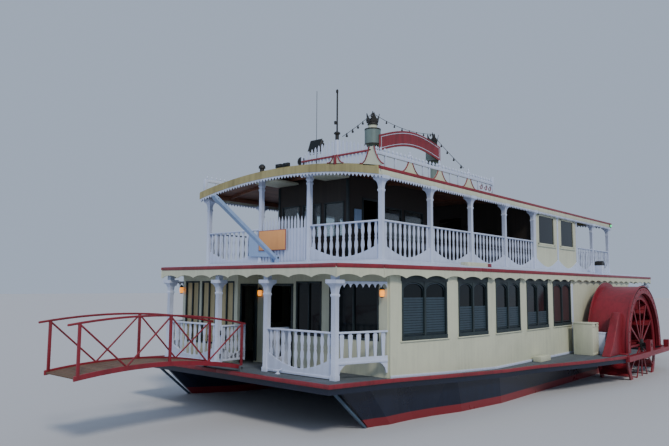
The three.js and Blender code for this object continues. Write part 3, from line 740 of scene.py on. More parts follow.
@dataclass
class Assembly:
    """A group of pieces that are made, painted and named together."""

    parts: list[Piece] = field(default_factory=list, init=False)

    def keep(self, look: Look, *pieces: Piece) -> None:
        """Paints new pieces and keeps them for the next publish.

        Args:
            look: Their finish.
            pieces: The new pieces.
        """
        for piece in pieces:
            piece.data.materials.clear()
            piece.data.materials.append(look.material)
            self.parts.append(piece)

    def box(self, look: Look, low: Point, high: Point, edge: float = 0.004) -> None:
        """Keeps a timber or plate between two corners counted from the front posts."""
        self.keep(look, block(at(*low), at(*high), edge))

    def joined(self) -> Piece:
        """Joins the pieces kept so far.

        Returns:
            One piece with smooth curves and sharp corners.
        """
        select_only(*self.parts)
        if len(self.parts) > 1:
            bpy.ops.object.join()
        piece = bpy.context.view_layer.objects.active
        bpy.ops.object.shade_smooth_by_angle(angle=math.radians(35))
        self.parts = []
        return piece

    @staticmethod
    def register(piece: Piece, name: str, look: Look, body: str, replaces: Sequence[str]) -> None:
        """Names a finished piece, hangs it on the body that it rides on and hides the CAD nodes that it
        stands for.

        Args:
            piece: The finished piece.
            name: Its name.
            look: The piece's finish; not used.
            body: The body it rides on.
            replaces: The CAD nodes it stands for.
        """
        piece.name = name
        piece.data.name = name
        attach(piece, body)
        if replaces:
            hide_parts(*replaces)
        LOG.info("%s: %d faces on %s", name, len(piece.data.polygons), body)

    def publish(self, name: str, look: Look, *replaces: str, body: str = "body") -> None:
        """Joins what was kept and registers it."""
        self.register(self.joined(), name, look, body, replaces)

    def publish_pair(self, name: str, look: Look, replaces: str = "", body: str = "") -> None:
        """Registers what was kept as the port piece and its mirror image as the starboard one.

        Args:
            name: Name of both, before their sides.
            look: Their finish.
            replaces: CAD nodes they stand for, before their sides.
            body: Bodies they ride on, before their sides, or the root body if empty.
        """
        port = self.joined()
        starboard = copy_of(port, PORT_TO_STARBOARD)
        for side, piece in (("port", port), ("starboard", starboard)):
            nodes = [f"{replaces}_{side}"] if replaces else []
            self.register(piece, f"{name}_{side}", look, f"{body}_{side}" if body else "body", nodes)


def repaint(look: Look, *nodes: str) -> None:
    """Gives CAD nodes whose shape stays a better finish.

    Args:
        look: The finish.
        nodes: The nodes' names.
    """
    for name in nodes:
        for slot in frame["nodes"][name].material_slots:
            slot.material = look.material
        LOG.info("%s: repainted", name)


class Baluster(Enum):
    """The sawn shapes of baluster, as height from 0 to 1 and half width."""

    VASE = ((0, 0.036), (0.16, 0.038), (0.24, 0.026), (0.30, 0.030), (0.40, 0.050), (0.50, 0.044),
            (0.58, 0.024), (0.62, 0.036), (0.66, 0.024), (0.76, 0.046), (0.84, 0.044), (0.92, 0.030),
            (1, 0.038))
    TAPERED = ((0, 0.030), (0.2, 0.034), (0.8, 0.056), (0.92, 0.056), (0.94, 0.040), (1, 0.040))

    def outline(self, height: float) -> Drawing:
        """The board's outline at a real height."""
        right = [(half, t * height) for t, half in self.value]
        return right + [(-half, v) for half, v in reversed(right)]


@dataclass
class Balustrade:
    """One bay of railing: cap, balusters and a foot panel whose top dips between the posts."""

    start: Point
    end: Point
    height: float = RAIL_TOP
    pitch: float = 0.2
    shape: Baluster = Baluster.VASE
    foot_high: float = 0.47
    foot_low: float = 0.17
    foot_base: float = 0.02
    dip: float = 1.75
    slat: float = 0.022
    panel: float = 0.034
    cap: tuple[float, float] = (0.085, 0.044)
    base: tuple[float, float] = (0.05, 0.06)
    lap: float = 0.03

    def foot_panel(self, steps: int = 24) -> Drawing:
        """Draws the foot panel.

        Args:
            steps: Points along its hollow top.

        Returns:
            Its outline.
        """
        length = (Vector(self.end) - Vector(self.start)).length
        points = [(0.0, self.foot_base), (length, self.foot_base)]
        for i in range(steps, -1, -1):
            t = i / steps
            sweep = abs(2 * t - 1) ** self.dip
            points.append((t * length, self.foot_low + (self.foot_high - self.foot_low) * sweep))
        return points

    def build(self) -> list[Piece]:
        """Makes the bay.

        Returns:
            Its pieces, not yet painted.
        """
        start, end = Vector(self.start), Vector(self.end)
        along = (end - start).normalized()
        out = along.cross(Vector(Z_AXIS))
        count = round((end - start).length / self.pitch)
        step = (end - start) / count
        bottom = self.foot_base + self.base[1] / 2
        outline = self.shape.outline(self.height - self.lap - bottom)
        slat = board(outline, self.slat, start + step / 2 + rise(bottom), along)
        cap = rise(self.height - self.cap[1] / 2)
        base = rise(bottom) + out * 0.012
        return [
            repeat(slat, count, step),
            board(self.foot_panel(), self.panel, start + out * 0.006, along, edge=0.003),
            beam(start + cap, end + cap, *self.cap, 0.01),
            beam(start + base, end + base, *self.base, 0.006),
        ]


def post(x: float, y: float, foot: float, head: float, half: float = 0.055, spread: float = 0.145,
         flare: float = 0.34, top: float = 0.0) -> Piece:
    """Makes a square post with a plinth and a head that flares like a trumpet.

    Args:
        x: Its place, counted from the front posts.
        y: Its place across the boat.
        foot: Height of its foot.
        head: Height where the flare is at its widest.
        half: Half the shaft's width.
        spread: Half the head's width.
        flare: Height of the flare.
        top: Where the post ends, if above its head.

    Returns:
        The post.
    """
    tall, wide = head - foot, spread - half
    plinth, collar, stub = half + 0.018, half + 0.014, half + 0.01
    trumpet = ((0.0, 1.0), (0.12, 0.62), (0.4, 0.38), (0.82, 0.25), (1.0, 0.2), (1.0, 0.0))
    widths = [(plinth, 0), (plinth, 0.10), (half, 0.13), (half, tall - flare - 0.03), (collar, tall - flare),
              (collar, tall - flare + 0.03)]
    widths += [(half + wide * out, tall - (flare - 0.05) * down) for out, down in trumpet]
    widths.append((spread, tall + 0.025))
    if top:
        widths += [(stub, tall + 0.025), (stub, top - foot)]
    profile = [(0, 0)] + [(w * math.sqrt(2), h) for w, h in widths] + [(0, widths[-1][1])]
    return turned(profile, at(x, y, foot), 4, twist=math.pi / 4)


def lace(length: float, depth: float = 0.10, pitch: float = 0.12, band: float = 0.025) -> Drawing:
    """Draws an edging that hangs down in teeth, its top at v = 0.

    Args:
        length: Its length.
        depth: How far the teeth hang.
        pitch: About how far apart they are.
        band: Depth of the band they hang from.

    Returns:
        Its outline: the band's top first, then the teeth.
    """
    count = round(length / pitch)
    step = length / count
    points: Drawing = [(length, 0), (0, 0), (0, -band)]
    for i in range(count):
        points += [(step * (i + 0.5), -depth), (step * (i + 1), -band)]
    return points


def scallops(length: float, top: float, cusp: float, crown: float, pitch: float = 0.70) -> Drawing:
    """Draws a fascia whose lower edge is a row of arches with cusps down.

    Args:
        length: Its length.
        top: Height of its upper edge.
        cusp: Height of the cusps.
        crown: How far each arch stands over its cusps.
        pitch: About how wide an arch is.

    Returns:
        Its outline.
    """
    count = max(1, round(length / pitch))
    step = length / count
    points: Drawing = [(length, top), (0, top)]
    for i in range(count):
        points += [(step * (i + k / 8), cusp + crown * math.sin(math.pi * k / 8) ** 0.7) for k in range(8)]
    points.append((length, cusp))
    return points


@dataclass
class HullAndDeck(Assembly):
    """Hulls, main deck, rub rails, bars that face the stems, and mooring cleats."""

    # Finish, reach outwards, foot and top counted from the deck, and softened edge
    rails: tuple = ((Look.RED, 0.075, -0.070, 0.018, 0.012), (Look.STRAKE, 0.05, -0.20, -0.066, 0.0))
    stem_head: Point = (1.66, 3.30, 1.83)
    stem_waterline: Point = (0.60, 3.31, WATERLINE)
    stem_foot: Point = (-0.36, 3.31, 0.14)
    stem_bar: tuple = (0.08, 0.05, 0.008)
    cleat_places: tuple = ((1.62, 1.50), (-2.6, 3.95))

    def build(self) -> None:
        """Repaints the CAD's hulls and decks and adds what they carry."""
        repaint(Look.HULL, "hull_port", "hull_starboard")
        repaint(Look.DECK, "main_deck")
        repaint(Look.RED, "rub_rail_stern", "guard_beam_port", "guard_beam_starboard")
        repaint(Look.BLACK, "rudder_port", "rudder_starboard")
        repaint(Look.ENGINE, "engine")
        self.rub_rails()
        self.stem_bars()
        self.cleats()

    def rub_rails(self) -> None:
        """Rounded rails along the deck's edge, with a navy strake under them."""
        (bow_x, bow_y, bow_z), *sides = DECK_LINE[:-1]
        for look, out, foot, top, edge in self.rails:
            line = [at(bow_x + out, 0, bow_z), at(bow_x + out, bow_y + out, bow_z)]
            line += [at(x, y + out, z) for x, y, z in sides]
            self.keep(look, ribbon(line[::-1], foot, top, out + 0.004, edge))
        self.publish_pair("rounded_rub_rail", Look.RED, "rub_rail")

    def stem_bars(self) -> None:
        """A flat bar down each raked stem, slate blue above the boot-top."""
        head, waterline, foot = at(*self.stem_head), at(*self.stem_waterline), at(*self.stem_foot)
        self.keep(Look.STEM, beam(head, waterline, *self.stem_bar))
        self.keep(Look.RED, beam(waterline, foot, *self.stem_bar))
        self.publish_pair("stem_bar", Look.STEM)

    def cleats(self) -> None:
        """Small two-horned cleats at the bow and amidships on each side."""
        stem = [(0, 0), (0.06, 0), (0.05, 0.02), (0.03, 0.03), (0.028, 0.08), (0, 0.085)]
        horns = ((-0.14, 0.10), (-0.06, 0.08), (0.06, 0.08), (0.14, 0.10))
        for x, y in self.cleat_places:
            z = deck_height(x)
            line = [at(x + u, y, z + v) for u, v in horns]
            self.keep(Look.WHITE, turned(stem, at(x, y, z), 16), pipe(line, 0.018))
        self.publish_pair("mooring_cleat", Look.WHITE)


@dataclass
class UpperDeck(Assembly):
    """The upper deck: planked floor, scalloped fascia, red moulding and the sloped white margin."""

    plan: tuple = ((1.66, 3.32), (0.45, 3.72), (-3.3, 4.2), (-20.1, 4.2))
    # After end, fore end and half width of the stair's opening
    well: tuple = (-19.3, -17.08, 0.55)
    soffit: float = 4.585
    moulding: float = 4.60
    cusps: float = 4.335
    boom_x: float = 0.34

    def build(self) -> None:
        """Makes the floor, its trim and the boom's foot."""
        self.floor()
        self.edge_trim()
        self.margin()
        self.boom_foot()

    def floor(self) -> None:
        """Soffit over the whole plan and planks within the rails, both open over the stair."""
        half = in_frame(self.plan)
        soffit = board(half + [(x, -y) for x, y in reversed(half)], 0.05, (0, 0, self.soffit), X_AXIS, Y_AXIS)
        planks = block(at(-20.06, -3.42, self.moulding), at(0.12, 3.42, UPPER_FLOOR - 0.002), 0)
        aft, fore, side = self.well
        for look, plate in ((Look.CREAM, soffit), (Look.DECK, planks)):
            hole = block(at(aft, -side, 4.4), at(fore, side, 5.0), 0)
            modify(plate, "BOOLEAN", operation="DIFFERENCE", object=hole, solver="EXACT")
            bpy.data.objects.remove(hole)
            self.keep(look, plate)
        self.publish("upper_floor", Look.DECK, "upper_deck")

    def trim(self, start: Vector, end: Vector, off: Vector) -> None:
        """Keeps the fascia and moulding of one edge.

        Args:
            start: Where the edge begins, at z = 0.
            end: Where it ends.
            off: The way that the trim stands off the edge.
        """
        run = end - start
        fascia = scallops(run.length, self.moulding - 0.03, self.cusps, 0.075)
        self.keep(Look.CREAM, board(fascia, 0.03, start + off * 0.017, run, edge=0.002))
        lift = rise(self.moulding) + off * 0.02
        self.keep(Look.RED, beam(start + lift, end + lift, 0.07, 0.095, 0.02))

    def edge_trim(self) -> None:
        """Fascia and moulding round the whole edge."""
        corners = [at(x, y, 0) for x, y in self.plan]
        for start, end in zip(corners, corners[1:]):
            self.trim(start, end, (end - start).normalized().cross(Vector(Z_AXIS)))
        self.publish_pair("edge_trim", Look.CREAM)
        for name, (x, y), inboard in (("fore", self.plan[0], -1), ("aft", self.plan[-1], 1)):
            self.trim(at(x, -y, 0), at(x, y, 0), Vector((inboard, 0, 0)))
            self.publish(f"edge_trim_{name}", Look.CREAM)

    def margin(self) -> None:
        """The white boards that slope from the foot of the rails to the moulding."""
        foot, top = UPPER_FLOOR + 0.075, self.moulding + 0.045
        outer = [at(x, y, top) for x, y in ((1.64, 3.30), (0.44, 3.70), (-3.3, 4.18), (-20.06, 4.18))]
        inner = [at(0.09, 3.4, foot), at(-20.06, 3.4, UPPER_FLOOR + 0.06)]
        self.keep(Look.WHITE, sheet([*inner, *reversed(outer)]))
        self.publish_pair("deck_margin", Look.WHITE)
        fore = [at(0.09, -3.4, foot), at(0.09, 3.4, foot), at(1.64, 3.30, top), at(1.64, -3.30, top)]
        self.keep(Look.WHITE, sheet(fore))
        self.publish("deck_margin_fore", Look.WHITE)

    def boom_foot(self) -> None:
        """Two cheeks and a base plate that hold the boom's pin."""
        x, half, pin = self.boom_x, 0.06, 0.20
        head = [(half, pin - 0.05), *arc(half, 0, 180, 8, (0, pin)), (-half, pin - 0.05)]
        cheek = [(-half, 0), (half, 0), *head]
        for side in BOTH:
            self.keep(Look.SKY, board(cheek, 0.036, at(x, side * 0.095, UPPER_FLOOR), X_AXIS, edge=0.003))
        self.box(Look.SKY, (x - 0.14, -0.15, UPPER_FLOOR), (x + 0.14, 0.15, UPPER_FLOOR + 0.016))
        self.publish("boom_foot", Look.SKY)


@dataclass
class UpperVeranda(Assembly):
    """Posts, balustrades and gate of the upper deck."""

    side_posts: tuple = (0.0, -2.18, -4.39, -6.61, -8.83)
    aft_posts: tuple = (-12.95, -14.8, -16.85)
    floor: float = UPPER_FLOOR + 0.002
    post_half: float = 0.06
    pickets: int = 14

    def build(self) -> None:
        """Makes the front, the sides, the after part and the picket gate."""
        self.front()
        self.side_bays(self.side_posts)
        self.publish_pair("side_balustrade", Look.WHITE, "upper_side_rail")
        self.side_bays(self.aft_posts)
        aft = self.aft_posts[-1]
        self.bay(at(aft, UPPER_SIDE - self.post_half, self.floor), at(aft, 0.62, self.floor))
        self.keep(Look.WHITE, post(aft, 0.56, self.floor, self.floor + 1.10, spread=0.085, flare=0.1))
        self.publish_pair("aft_balustrade", Look.WHITE, "upper_aft_rail")
        self.picket_gate()
        self.bow_panels()

    def bay(self, start: Vector, end: Vector, pitch: float = 0.2) -> None:
        """Keeps one bay between two points."""
        self.keep(Look.WHITE, *Balustrade(start, end, pitch=pitch).build())

    def front(self) -> None:
        """The front posts, and the bays between them beside the gate."""
        self.keep(Look.WHITE, post(0, UPPER_INNER, self.floor, 6.98, spread=0.075, flare=0.12, top=7.2),
                  post(0, UPPER_SIDE, self.floor, UPPER_HEAD, top=UPPER_TOP))
        gap = self.post_half
        self.bay(at(0, UPPER_INNER + gap, self.floor), at(0, UPPER_SIDE - gap, self.floor), 0.205)
        self.publish_pair("front_balustrade", Look.WHITE, "upper_front_rail")

    def side_bays(self, xs: Sequence[float]) -> None:
        """Bays from post to post along the side, with the posts after the first.

        Args:
            xs: Places of the posts along the boat.
        """
        gap = self.post_half
        for fore, aft in zip(xs, xs[1:]):
            self.bay(at(fore - gap, UPPER_SIDE, self.floor), at(aft + gap, UPPER_SIDE, self.floor))
            self.keep(Look.WHITE, post(aft, UPPER_SIDE, self.floor, UPPER_HEAD, top=UPPER_TOP))

    def picket_gate(self) -> None:
        """Boarded gate between the inner front posts, its pickets pointed and tallest in the middle."""
        half = UPPER_INNER - 0.075
        step = 2 * half / self.pickets
        left = [(-0.018, 1.22), (-0.032, 1.16)]
        picket = [(-0.032, 0.02), (0.032, 0.02), (0.032, 1.16), (0.018, 1.22), (0, 1.30), *left]
        for i in range(self.pickets):
            lift = 0.05 * math.sin(math.pi * (i + 0.5) / self.pickets)
            shape = [(u, v + (lift if v > 1 else 0)) for u, v in picket]
            spot = at(0.022, -half + step * (i + 0.5), UPPER_FLOOR)
            self.keep(Look.WHITE, board(shape, 0.02, spot, Y_AXIS))
        self.keep(Look.WHITE, board(square(-half, half, 0.06, 1.0), 0.014, at(0.002, 0, UPPER_FLOOR), Y_AXIS))
        for z in (UPPER_FLOOR + 0.15, UPPER_FLOOR + 0.95):
            self.box(Look.WHITE, (-0.03, -half, z - 0.03), (0.0, half, z + 0.03))
        self.publish("picket_screen", Look.WHITE, "picket_gate")

    def bow_panels(self) -> None:
        """The bow board with its red border and brackets, and the light-blue panel beside it."""
        self.box(Look.OCHRE, (0.096, -0.92, 5.13), (0.112, 0.14, 5.67), 0.006)
        self.box(Look.RED, (0.088, -0.935, 5.115), (0.104, 0.155, 5.685))
        for y in (-0.8, 0.05):
            self.box(Look.RED, (0.03, y - 0.03, 5.2), (0.09, y + 0.03, 5.6))
        self.publish("bow_panel", Look.RED, "bow_board")
        outline = [(-1.38, 4.97), (-0.25, 4.93), (-0.87, 5.50), (-1.38, 5.66)]
        self.keep(Look.SKY, board(outline, 0.014, at(0.073, 0, 0), Y_AXIS, edge=0.003))
        self.publish("blue_panel", Look.SKY)


@dataclass
class Roof(Assembly):
    """Cambered roof with its boarded underside, fascias, lace and red moulding."""

    fore: float = 0.30
    aft: float = -17.10
    half: float = 3.47
    edge_top: float = 7.02
    crown: float = 7.36
    beams: int = 8

    def camber(self, y: float, drop: float = 0.0) -> float:
        """Height of the roof's top at y, less a drop."""
        return self.crown - drop - (self.crown - self.edge_top) * (y / self.half) ** 2

    def section(self, half: float, top: float, foot: float, steps: int = 40) -> Drawing:
        """A slice of the roof between two depths below its top, as y against z."""
        ys = [half * (2 * i / steps - 1) for i in range(steps + 1)]
        return [(y, self.camber(y, foot)) for y in ys] + [(y, self.camber(y, top)) for y in reversed(ys)]

    def build(self) -> None:
        """Makes the shell, its underside and the trims."""
        length, middle = self.fore - self.aft, at((self.fore + self.aft) / 2, 0, 0)
        self.keep(Look.ROOF, board(self.section(self.half, 0.0, 0.05), length, middle, Y_AXIS, edge=0.004))
        self.publish("roof_shell", Look.ROOF, "roof")
        boards = self.section(self.half - 0.04, 0.052, 0.075)
        self.keep(Look.CEILING, board(boards, length - 0.08, middle, Y_AXIS))
        for i in range(self.beams):
            spot = at(self.fore - 1.1 - i * 2.2, 0, 0)
            self.keep(Look.CEILING, board(self.section(self.half - 0.06, 0.07, 0.15, 16), 0.06, spot, Y_AXIS))
        self.publish("ceiling", Look.CEILING)
        for name, x in (("fore", self.fore), ("aft", self.aft)):
            self.eave(name, x)
        self.side_eaves(length)

    def eave(self, name: str, x: float, steps: int = 40) -> None:
        """One end's fascia, which follows the camber, with lace under it.

        Args:
            name: Which end it is.
            x: Its place along the boat.
            steps: Points across the lace's top.
        """
        fascia = self.section(self.half, 0.03, 0.22)
        self.keep(Look.ROOF, board(fascia, 0.03, at(x, 0, 0), Y_AXIS, edge=0.003))
        shift = self.half - 0.01
        teeth = [(u - shift, self.camber(u - shift, 0.215) + v) for u, v in lace(2 * shift)[3:]]
        ys = [self.half * (1 - 2 * i / steps) * 0.997 for i in range(steps + 1)]
        edging = teeth + [(y, self.camber(y, 0.19)) for y in ys]
        self.keep(Look.WHITE, board(edging, 0.014, at(x - 0.001, 0, 0), Y_AXIS))
        self.publish(f"eave_{name}", Look.ROOF)

    def side_eaves(self, length: float) -> None:
        """Fascia, lace, red moulding and plate along the sides.

        Args:
            length: The roof's length.
        """
        fore, aft, half = self.fore, self.aft, self.half
        self.box(Look.CREAM, (aft, half - 0.03, 6.80), (fore, half, 7.0))
        self.keep(Look.WHITE, board(lace(length), 0.014, at(aft, half - 0.012, 6.81), X_AXIS))
        self.box(Look.RED, (aft, half - 0.02, 6.935), (fore, half + 0.012, 7.018), 0.015)
        self.box(Look.CEILING, (aft, UPPER_SIDE - 0.05, 6.85), (0, UPPER_SIDE + 0.05, UPPER_TOP), 0.006)
        self.publish_pair("eave_side", Look.CREAM)


@dataclass
class ArchedWindow:
    """A pair of arched lights in a dark frame, with louvres over the lower part."""

    foot: Vector
    along: Point
    width: float
    # Share of the height that louvres cover; 0 for a window with a curtain instead
    share: float
    height: float = 1.43
    stile: float = 0.05
    mullion: float = 0.032
    louvre_foot: float = 0.102
    slat_pitch: float = 0.062

    def out(self, w: float) -> Vector:
        """The foot of its middle, moved outwards from the wall."""
        return self.foot + Vector(self.along).normalized().cross(Vector(Z_AXIS)) * w

    def bar(self, u0: float, u1: float, v0: float, v1: float, w: float, thick: float,
            edge: float = 0.004) -> Piece:
        """A flat bar between two sides and two heights, its middle w outwards from the wall."""
        return board(square(u0, u1, v0, v1), thick, self.out(w), self.along, edge=edge)

    def build(self, owner: Assembly) -> None:
        """Makes the window's pieces.

        Args:
            owner: The wall that owns them.
        """
        half, tall, mullion = self.width / 2, self.height, self.mullion
        light = half - self.stile - mullion
        owner.keep(Look.FRAME, self.bar(-half, -half + self.stile, 0, tall, -0.03, 0.09),
                   self.bar(half - self.stile, half, 0, tall, -0.03, 0.09),
                   self.bar(-mullion, mullion, 0.08, tall, -0.025, 0.07),
                   self.bar(-half, half, 0.0, 0.10, -0.025, 0.10),
                   self.bar(-half, half, 0.135, 0.155, -0.03, 0.05))
        self.arches(owner, half, light)
        # Lights with louvres take a nearly black pane of painted shade; the others take a curtain
        owner.keep(Look.GLASS if self.share else Look.CURTAIN,
                   self.bar(-half + 0.02, half - 0.02, 0.05, tall - 0.03, -0.055, 0.008, 0))
        if not self.share:
            return
        count = int((tall * self.share - 0.10) / self.slat_pitch)
        for side in BOTH:
            centre, reach = side * (mullion + light / 2), light / 2 - 0.004
            top = self.louvre_foot + self.slat_pitch * 0.88
            slat = self.bar(centre - reach, centre + reach, self.louvre_foot, top, -0.038, 0.012, 0.003)
            owner.keep(Look.LOUVRE, repeat(slat, count, rise(self.slat_pitch)))

    def arches(self, owner: Assembly, half: float, light: float) -> None:
        """Makes the arched head, a pale bow in each light and the board over them.

        Args:
            owner: The wall that owns the window.
            half: Half the window's width.
            light: Width of one light.
        """
        arch = light * 0.24
        spring = self.height - 0.035 - arch
        outline: Drawing = [(half, self.height), (-half, self.height), (-half, spring)]
        for side in BOTH:
            centre = side * (self.mullion + light / 2)
            bow = [(centre + light / 2 * u, spring + arch * v) for u, v in arc(1, 180, 0, 12)]
            outline += bow
            ring = [(centre + (u - centre) * 0.93, v - 0.03) for u, v in bow]
            strip = ring + [(u, v + 0.016) for u, v in reversed(ring)]
            owner.keep(Look.LOUVRE, board(strip, 0.02, self.out(-0.03), self.along))
        outline.append((half, spring))
        owner.keep(Look.FRAME, board(outline, 0.05, self.out(-0.025), self.along),
                   self.bar(-half - 0.03, half + 0.03, self.height - 0.01, self.height + 0.20, 0.009, 0.018))


@dataclass
class PlainWindow:
    """A framed window with one mullion in the cabin's front."""

    x: float
    y0: float
    y1: float
    z0: float
    z1: float = 4.26
    pane: Look = Look.GLASS
    bar: float = 0.05
    mullion: float = 0.02

    def build(self, owner: Assembly) -> None:
        """Makes the window's pieces.

        Args:
            owner: The wall that owns them.
        """
        x, y0, y1, z0, z1 = self.x, self.y0, self.y1, self.z0, self.z1
        middle = (y0 + y1) / 2
        upright = (middle - self.mullion, middle + self.mullion, z0, z1)
        for a, b, c, d in (*frame_bars(y0, y1, z0, z1, self.bar), upright):
            owner.box(Look.FRAME, (x - 0.06, a, c), (x + 0.012, b, d), 0.005)
        owner.box(self.pane, (x - 0.045, y0 + 0.02, z0 + 0.02), (x - 0.035, y1 - 0.02, z1 - 0.02), 0)


@dataclass
class LowerCabin(Assembly):
    """Windows, sills and trim on the lower cabin's CAD walls."""

    # Each side window's place along, the wall's y there, its slope, the window's width and its louvres' share
    side_windows: tuple = ((-1.145, 3.815, 0.163, 1.65, 0.74), (-3.135, 4.058, 0.068, 1.43, 0.56),
                           (-5.095, 4.13, 0, 1.58, 0.52), (-7.18, 4.13, 0, 1.63, 0.40),
                           (-9.225, 4.13, 0, 1.58, 0))
    wall_foot: tuple = ((0.05, 3.62), (-2.28, 4.0), (-4.2, 4.13), (-16.98, 4.13))
    battens: tuple = (-10.15, -16.9)
    sill: float = 2.85
    blind_windows: tuple = ((-3.30, -2.64), (-2.52, -1.86), (-1.74, -1.08))
    dark_windows: tuple = ((0.56, 1.48), (1.74, 3.31))
    # The wall steps aft beside the doorway: its two faces, and the jambs and head between them
    step_fore: float = 0.83
    step_aft: float = 0.08
    lamps: tuple = (("starboard", (0.83, -3.40, 3.99)), ("door", (0.08, -0.78, 3.93)),
                    ("port", (0.08, 3.47, 3.98)))

    def build(self) -> None:
        """Repaints the walls and adds the windows, trim and lamps."""
        repaint(Look.CREAM, "cabin_side_port", "cabin_side_starboard", "cabin_front", "cabin_aft")
        for i, (x, y, slope, width, share) in enumerate(self.side_windows):
            along = Vector((-1, slope, 0))
            ArchedWindow(at(x, y, self.sill), along, width, share).build(self)
            run = along.normalized() * (width / 2 + 0.06)
            middle = at(x, y + 0.012, self.sill - 0.012)
            self.keep(Look.CREAM, beam(middle - run, middle + run, 0.05, 0.03, 0.008))
            self.publish_pair(f"side_window_{i + 1}", Look.FRAME)
        self.skirting()
        self.front()
        for name, spot in self.lamps:
            self.lamp(name, at(*spot))

    def skirting(self) -> None:
        """White boards at the foot of the side walls, and a batten up each end of the plain stretch."""
        line = [at(x, y + 0.008, deck_height(x) + 0.03) for x, y in self.wall_foot]
        for start, end in zip(line, line[1:]):
            self.keep(Look.WHITE, beam(start, end, 0.03, 0.065, 0.01))
        for x in self.battens:
            self.box(Look.WHITE, (x - 0.06, 4.125, 1.9), (x + 0.06, 4.15, 4.27), 0.005)
        self.publish_pair("skirting", Look.WHITE)

    def front(self) -> None:
        """Windows of the stepped front and the frames of its doorways."""
        for y0, y1 in self.blind_windows:
            PlainWindow(self.step_fore, y0, y1, 2.50, pane=Look.BLIND).build(self)
        for y0, y1 in self.dark_windows:
            PlainWindow(self.step_aft, y0, y1, self.sill).build(self)
        for y in (-0.56, 0.42):
            self.box(Look.FRAME, (0.0, y - 0.035, 2.03), (0.10, y + 0.035, 4.17), 0.005)
        self.box(Look.FRAME, (0.0, -0.6, 4.13), (0.10, 0.46, 4.20), 0.005)
        for x in (0.14, 0.71):
            self.box(Look.FRAME, (x - 0.03, -1.01, 2.06), (x + 0.03, -0.92, 4.17), 0.005)
        self.box(Look.FRAME, (0.11, -1.01, 4.12), (0.74, -0.92, 4.19), 0.005)
        self.publish("front_windows", Look.FRAME)

    def lamp(self, name: str, spot: Vector) -> None:
        """A carriage lamp on a short bracket.

        Args:
            name: Which lamp it is.
            spot: Where the bracket meets the wall.
        """
        centre = spot + Vector((0.09, 0, 0))
        hood = [(0, 0.10), (0.05, 0.10), (0.075, 0.08), (0.02, 0.15), (0, 0.17)]
        cup = [(0, -0.11), (0.045, -0.10), (0.05, -0.08), (0, -0.085)]
        globe = [(0, -0.085), (0.045, -0.08), (0.062, 0.0), (0.05, 0.085), (0, 0.09)]
        self.keep(Look.BLACK, rod(spot, centre + rise(0.10), 0.012, 8), turned(hood, centre, 16),
                  turned(cup, centre, 16))
        self.keep(Look.LAMP, turned(globe, centre, 16))
        self.publish(f"wall_lamp_{name}", Look.BLACK)


@dataclass
class BowVeranda(Assembly):
    """Posts, balustrades and gates of the lower deck's bow."""

    post_x: float = 1.47
    outer: float = 3.14
    inner: float = 0.94
    post_half: float = 0.065
    # Each side's corner of the cabin, where its side bay ends
    port_corner: tuple = (0.095, 3.56)
    starboard_corner: tuple = (0.88, 3.36)
    gate_hinge: tuple = (1.45, 0.85)
    gate_length: float = 0.80

    def build(self) -> None:
        """Makes both screens and the gates."""
        self.keep(Look.WHITE, *self.screen(*self.port_corner))
        self.publish("bow_balustrade_port", Look.WHITE, "bow_screen_port")
        for piece in self.screen(*self.starboard_corner):
            self.keep(Look.WHITE, copy_of(piece, PORT_TO_STARBOARD))
            bpy.data.objects.remove(piece)
        self.publish("bow_balustrade_starboard", Look.WHITE, "bow_screen_starboard")
        self.gates()

    def screen(self, corner_x: float, corner_y: float) -> list[Piece]:
        """Makes one side as if it were the port one.

        Args:
            corner_x: The cabin's corner, along the boat.
            corner_y: The cabin's corner, across it.

        Returns:
            Two posts, the front bay, the side bay with its open foot, and the edging above it.
        """
        x, gap, foot = self.post_x, self.post_half, deck_height(self.post_x)
        ys = (self.inner, self.outer)
        pieces = [post(x, y, foot + 0.001, LOWER_HEAD, 0.062, 0.155, top=LOWER_TOP) for y in ys]
        pieces += Balustrade(at(x, self.inner + gap, foot), at(x, self.outer - gap, foot)).build()
        end = at(corner_x, corner_y, foot)
        along = (end - at(x, self.outer, foot)).normalized()
        start = at(x, self.outer, foot) + along * gap
        open_foot = {"foot_high": 0.47, "foot_low": 0.47, "foot_base": 0.33}
        pieces += Balustrade(start, end, pitch=0.235, shape=Baluster.TAPERED, **open_foot).build()
        span = (end - start).length
        for u, sign in ((0.0, 1), (span, -1)):
            curve = ((0.04, 0.08), (0.07, 0.20), (0.16, 0.29), (0.24, 0.33))
            bracket = [(0, 0.33), (0, 0.08)] + [(sign * a, b) for a, b in curve]
            pieces.append(board(bracket, 0.03, start + along * u, along))
        valance = scallops(span, 0.0, -0.14, 0.09, 0.18)
        pieces.append(board(valance, 0.02, Vector((start.x, start.y, 4.25)), along))
        pieces.append(block(at(x - 0.03, self.inner, 4.50), at(x + 0.03, self.outer, 4.59), 0.005))
        return pieces

    def gates(self) -> None:
        """Two leaves hinged at the inner posts, standing open inboard."""
        hinge = at(*self.gate_hinge, deck_height(self.post_x) + 0.06)
        start = hinge + Vector((-0.02, -0.02, 0))
        end = start + Vector((-self.gate_length, 0, 0))
        leaf = Balustrade(start, end, height=0.96, pitch=0.135, foot_high=0.40, foot_low=0.2)
        self.keep(Look.WHITE, *leaf.build())
        for corner, near, far in ((start, -0.03, 0.02), (end, 0.0, 0.04)):
            stile = block(corner + Vector((near, -0.018, 0)), corner + Vector((far, 0.018, 0.955)))
            self.keep(Look.WHITE, stile)
        for z in (0.1, 0.7):
            self.keep(Look.BLACK, rod(hinge + rise(z), hinge + rise(z + 0.12), 0.019))
        self.publish_pair("gate_leaf", Look.WHITE, "bow_gate", "gate")


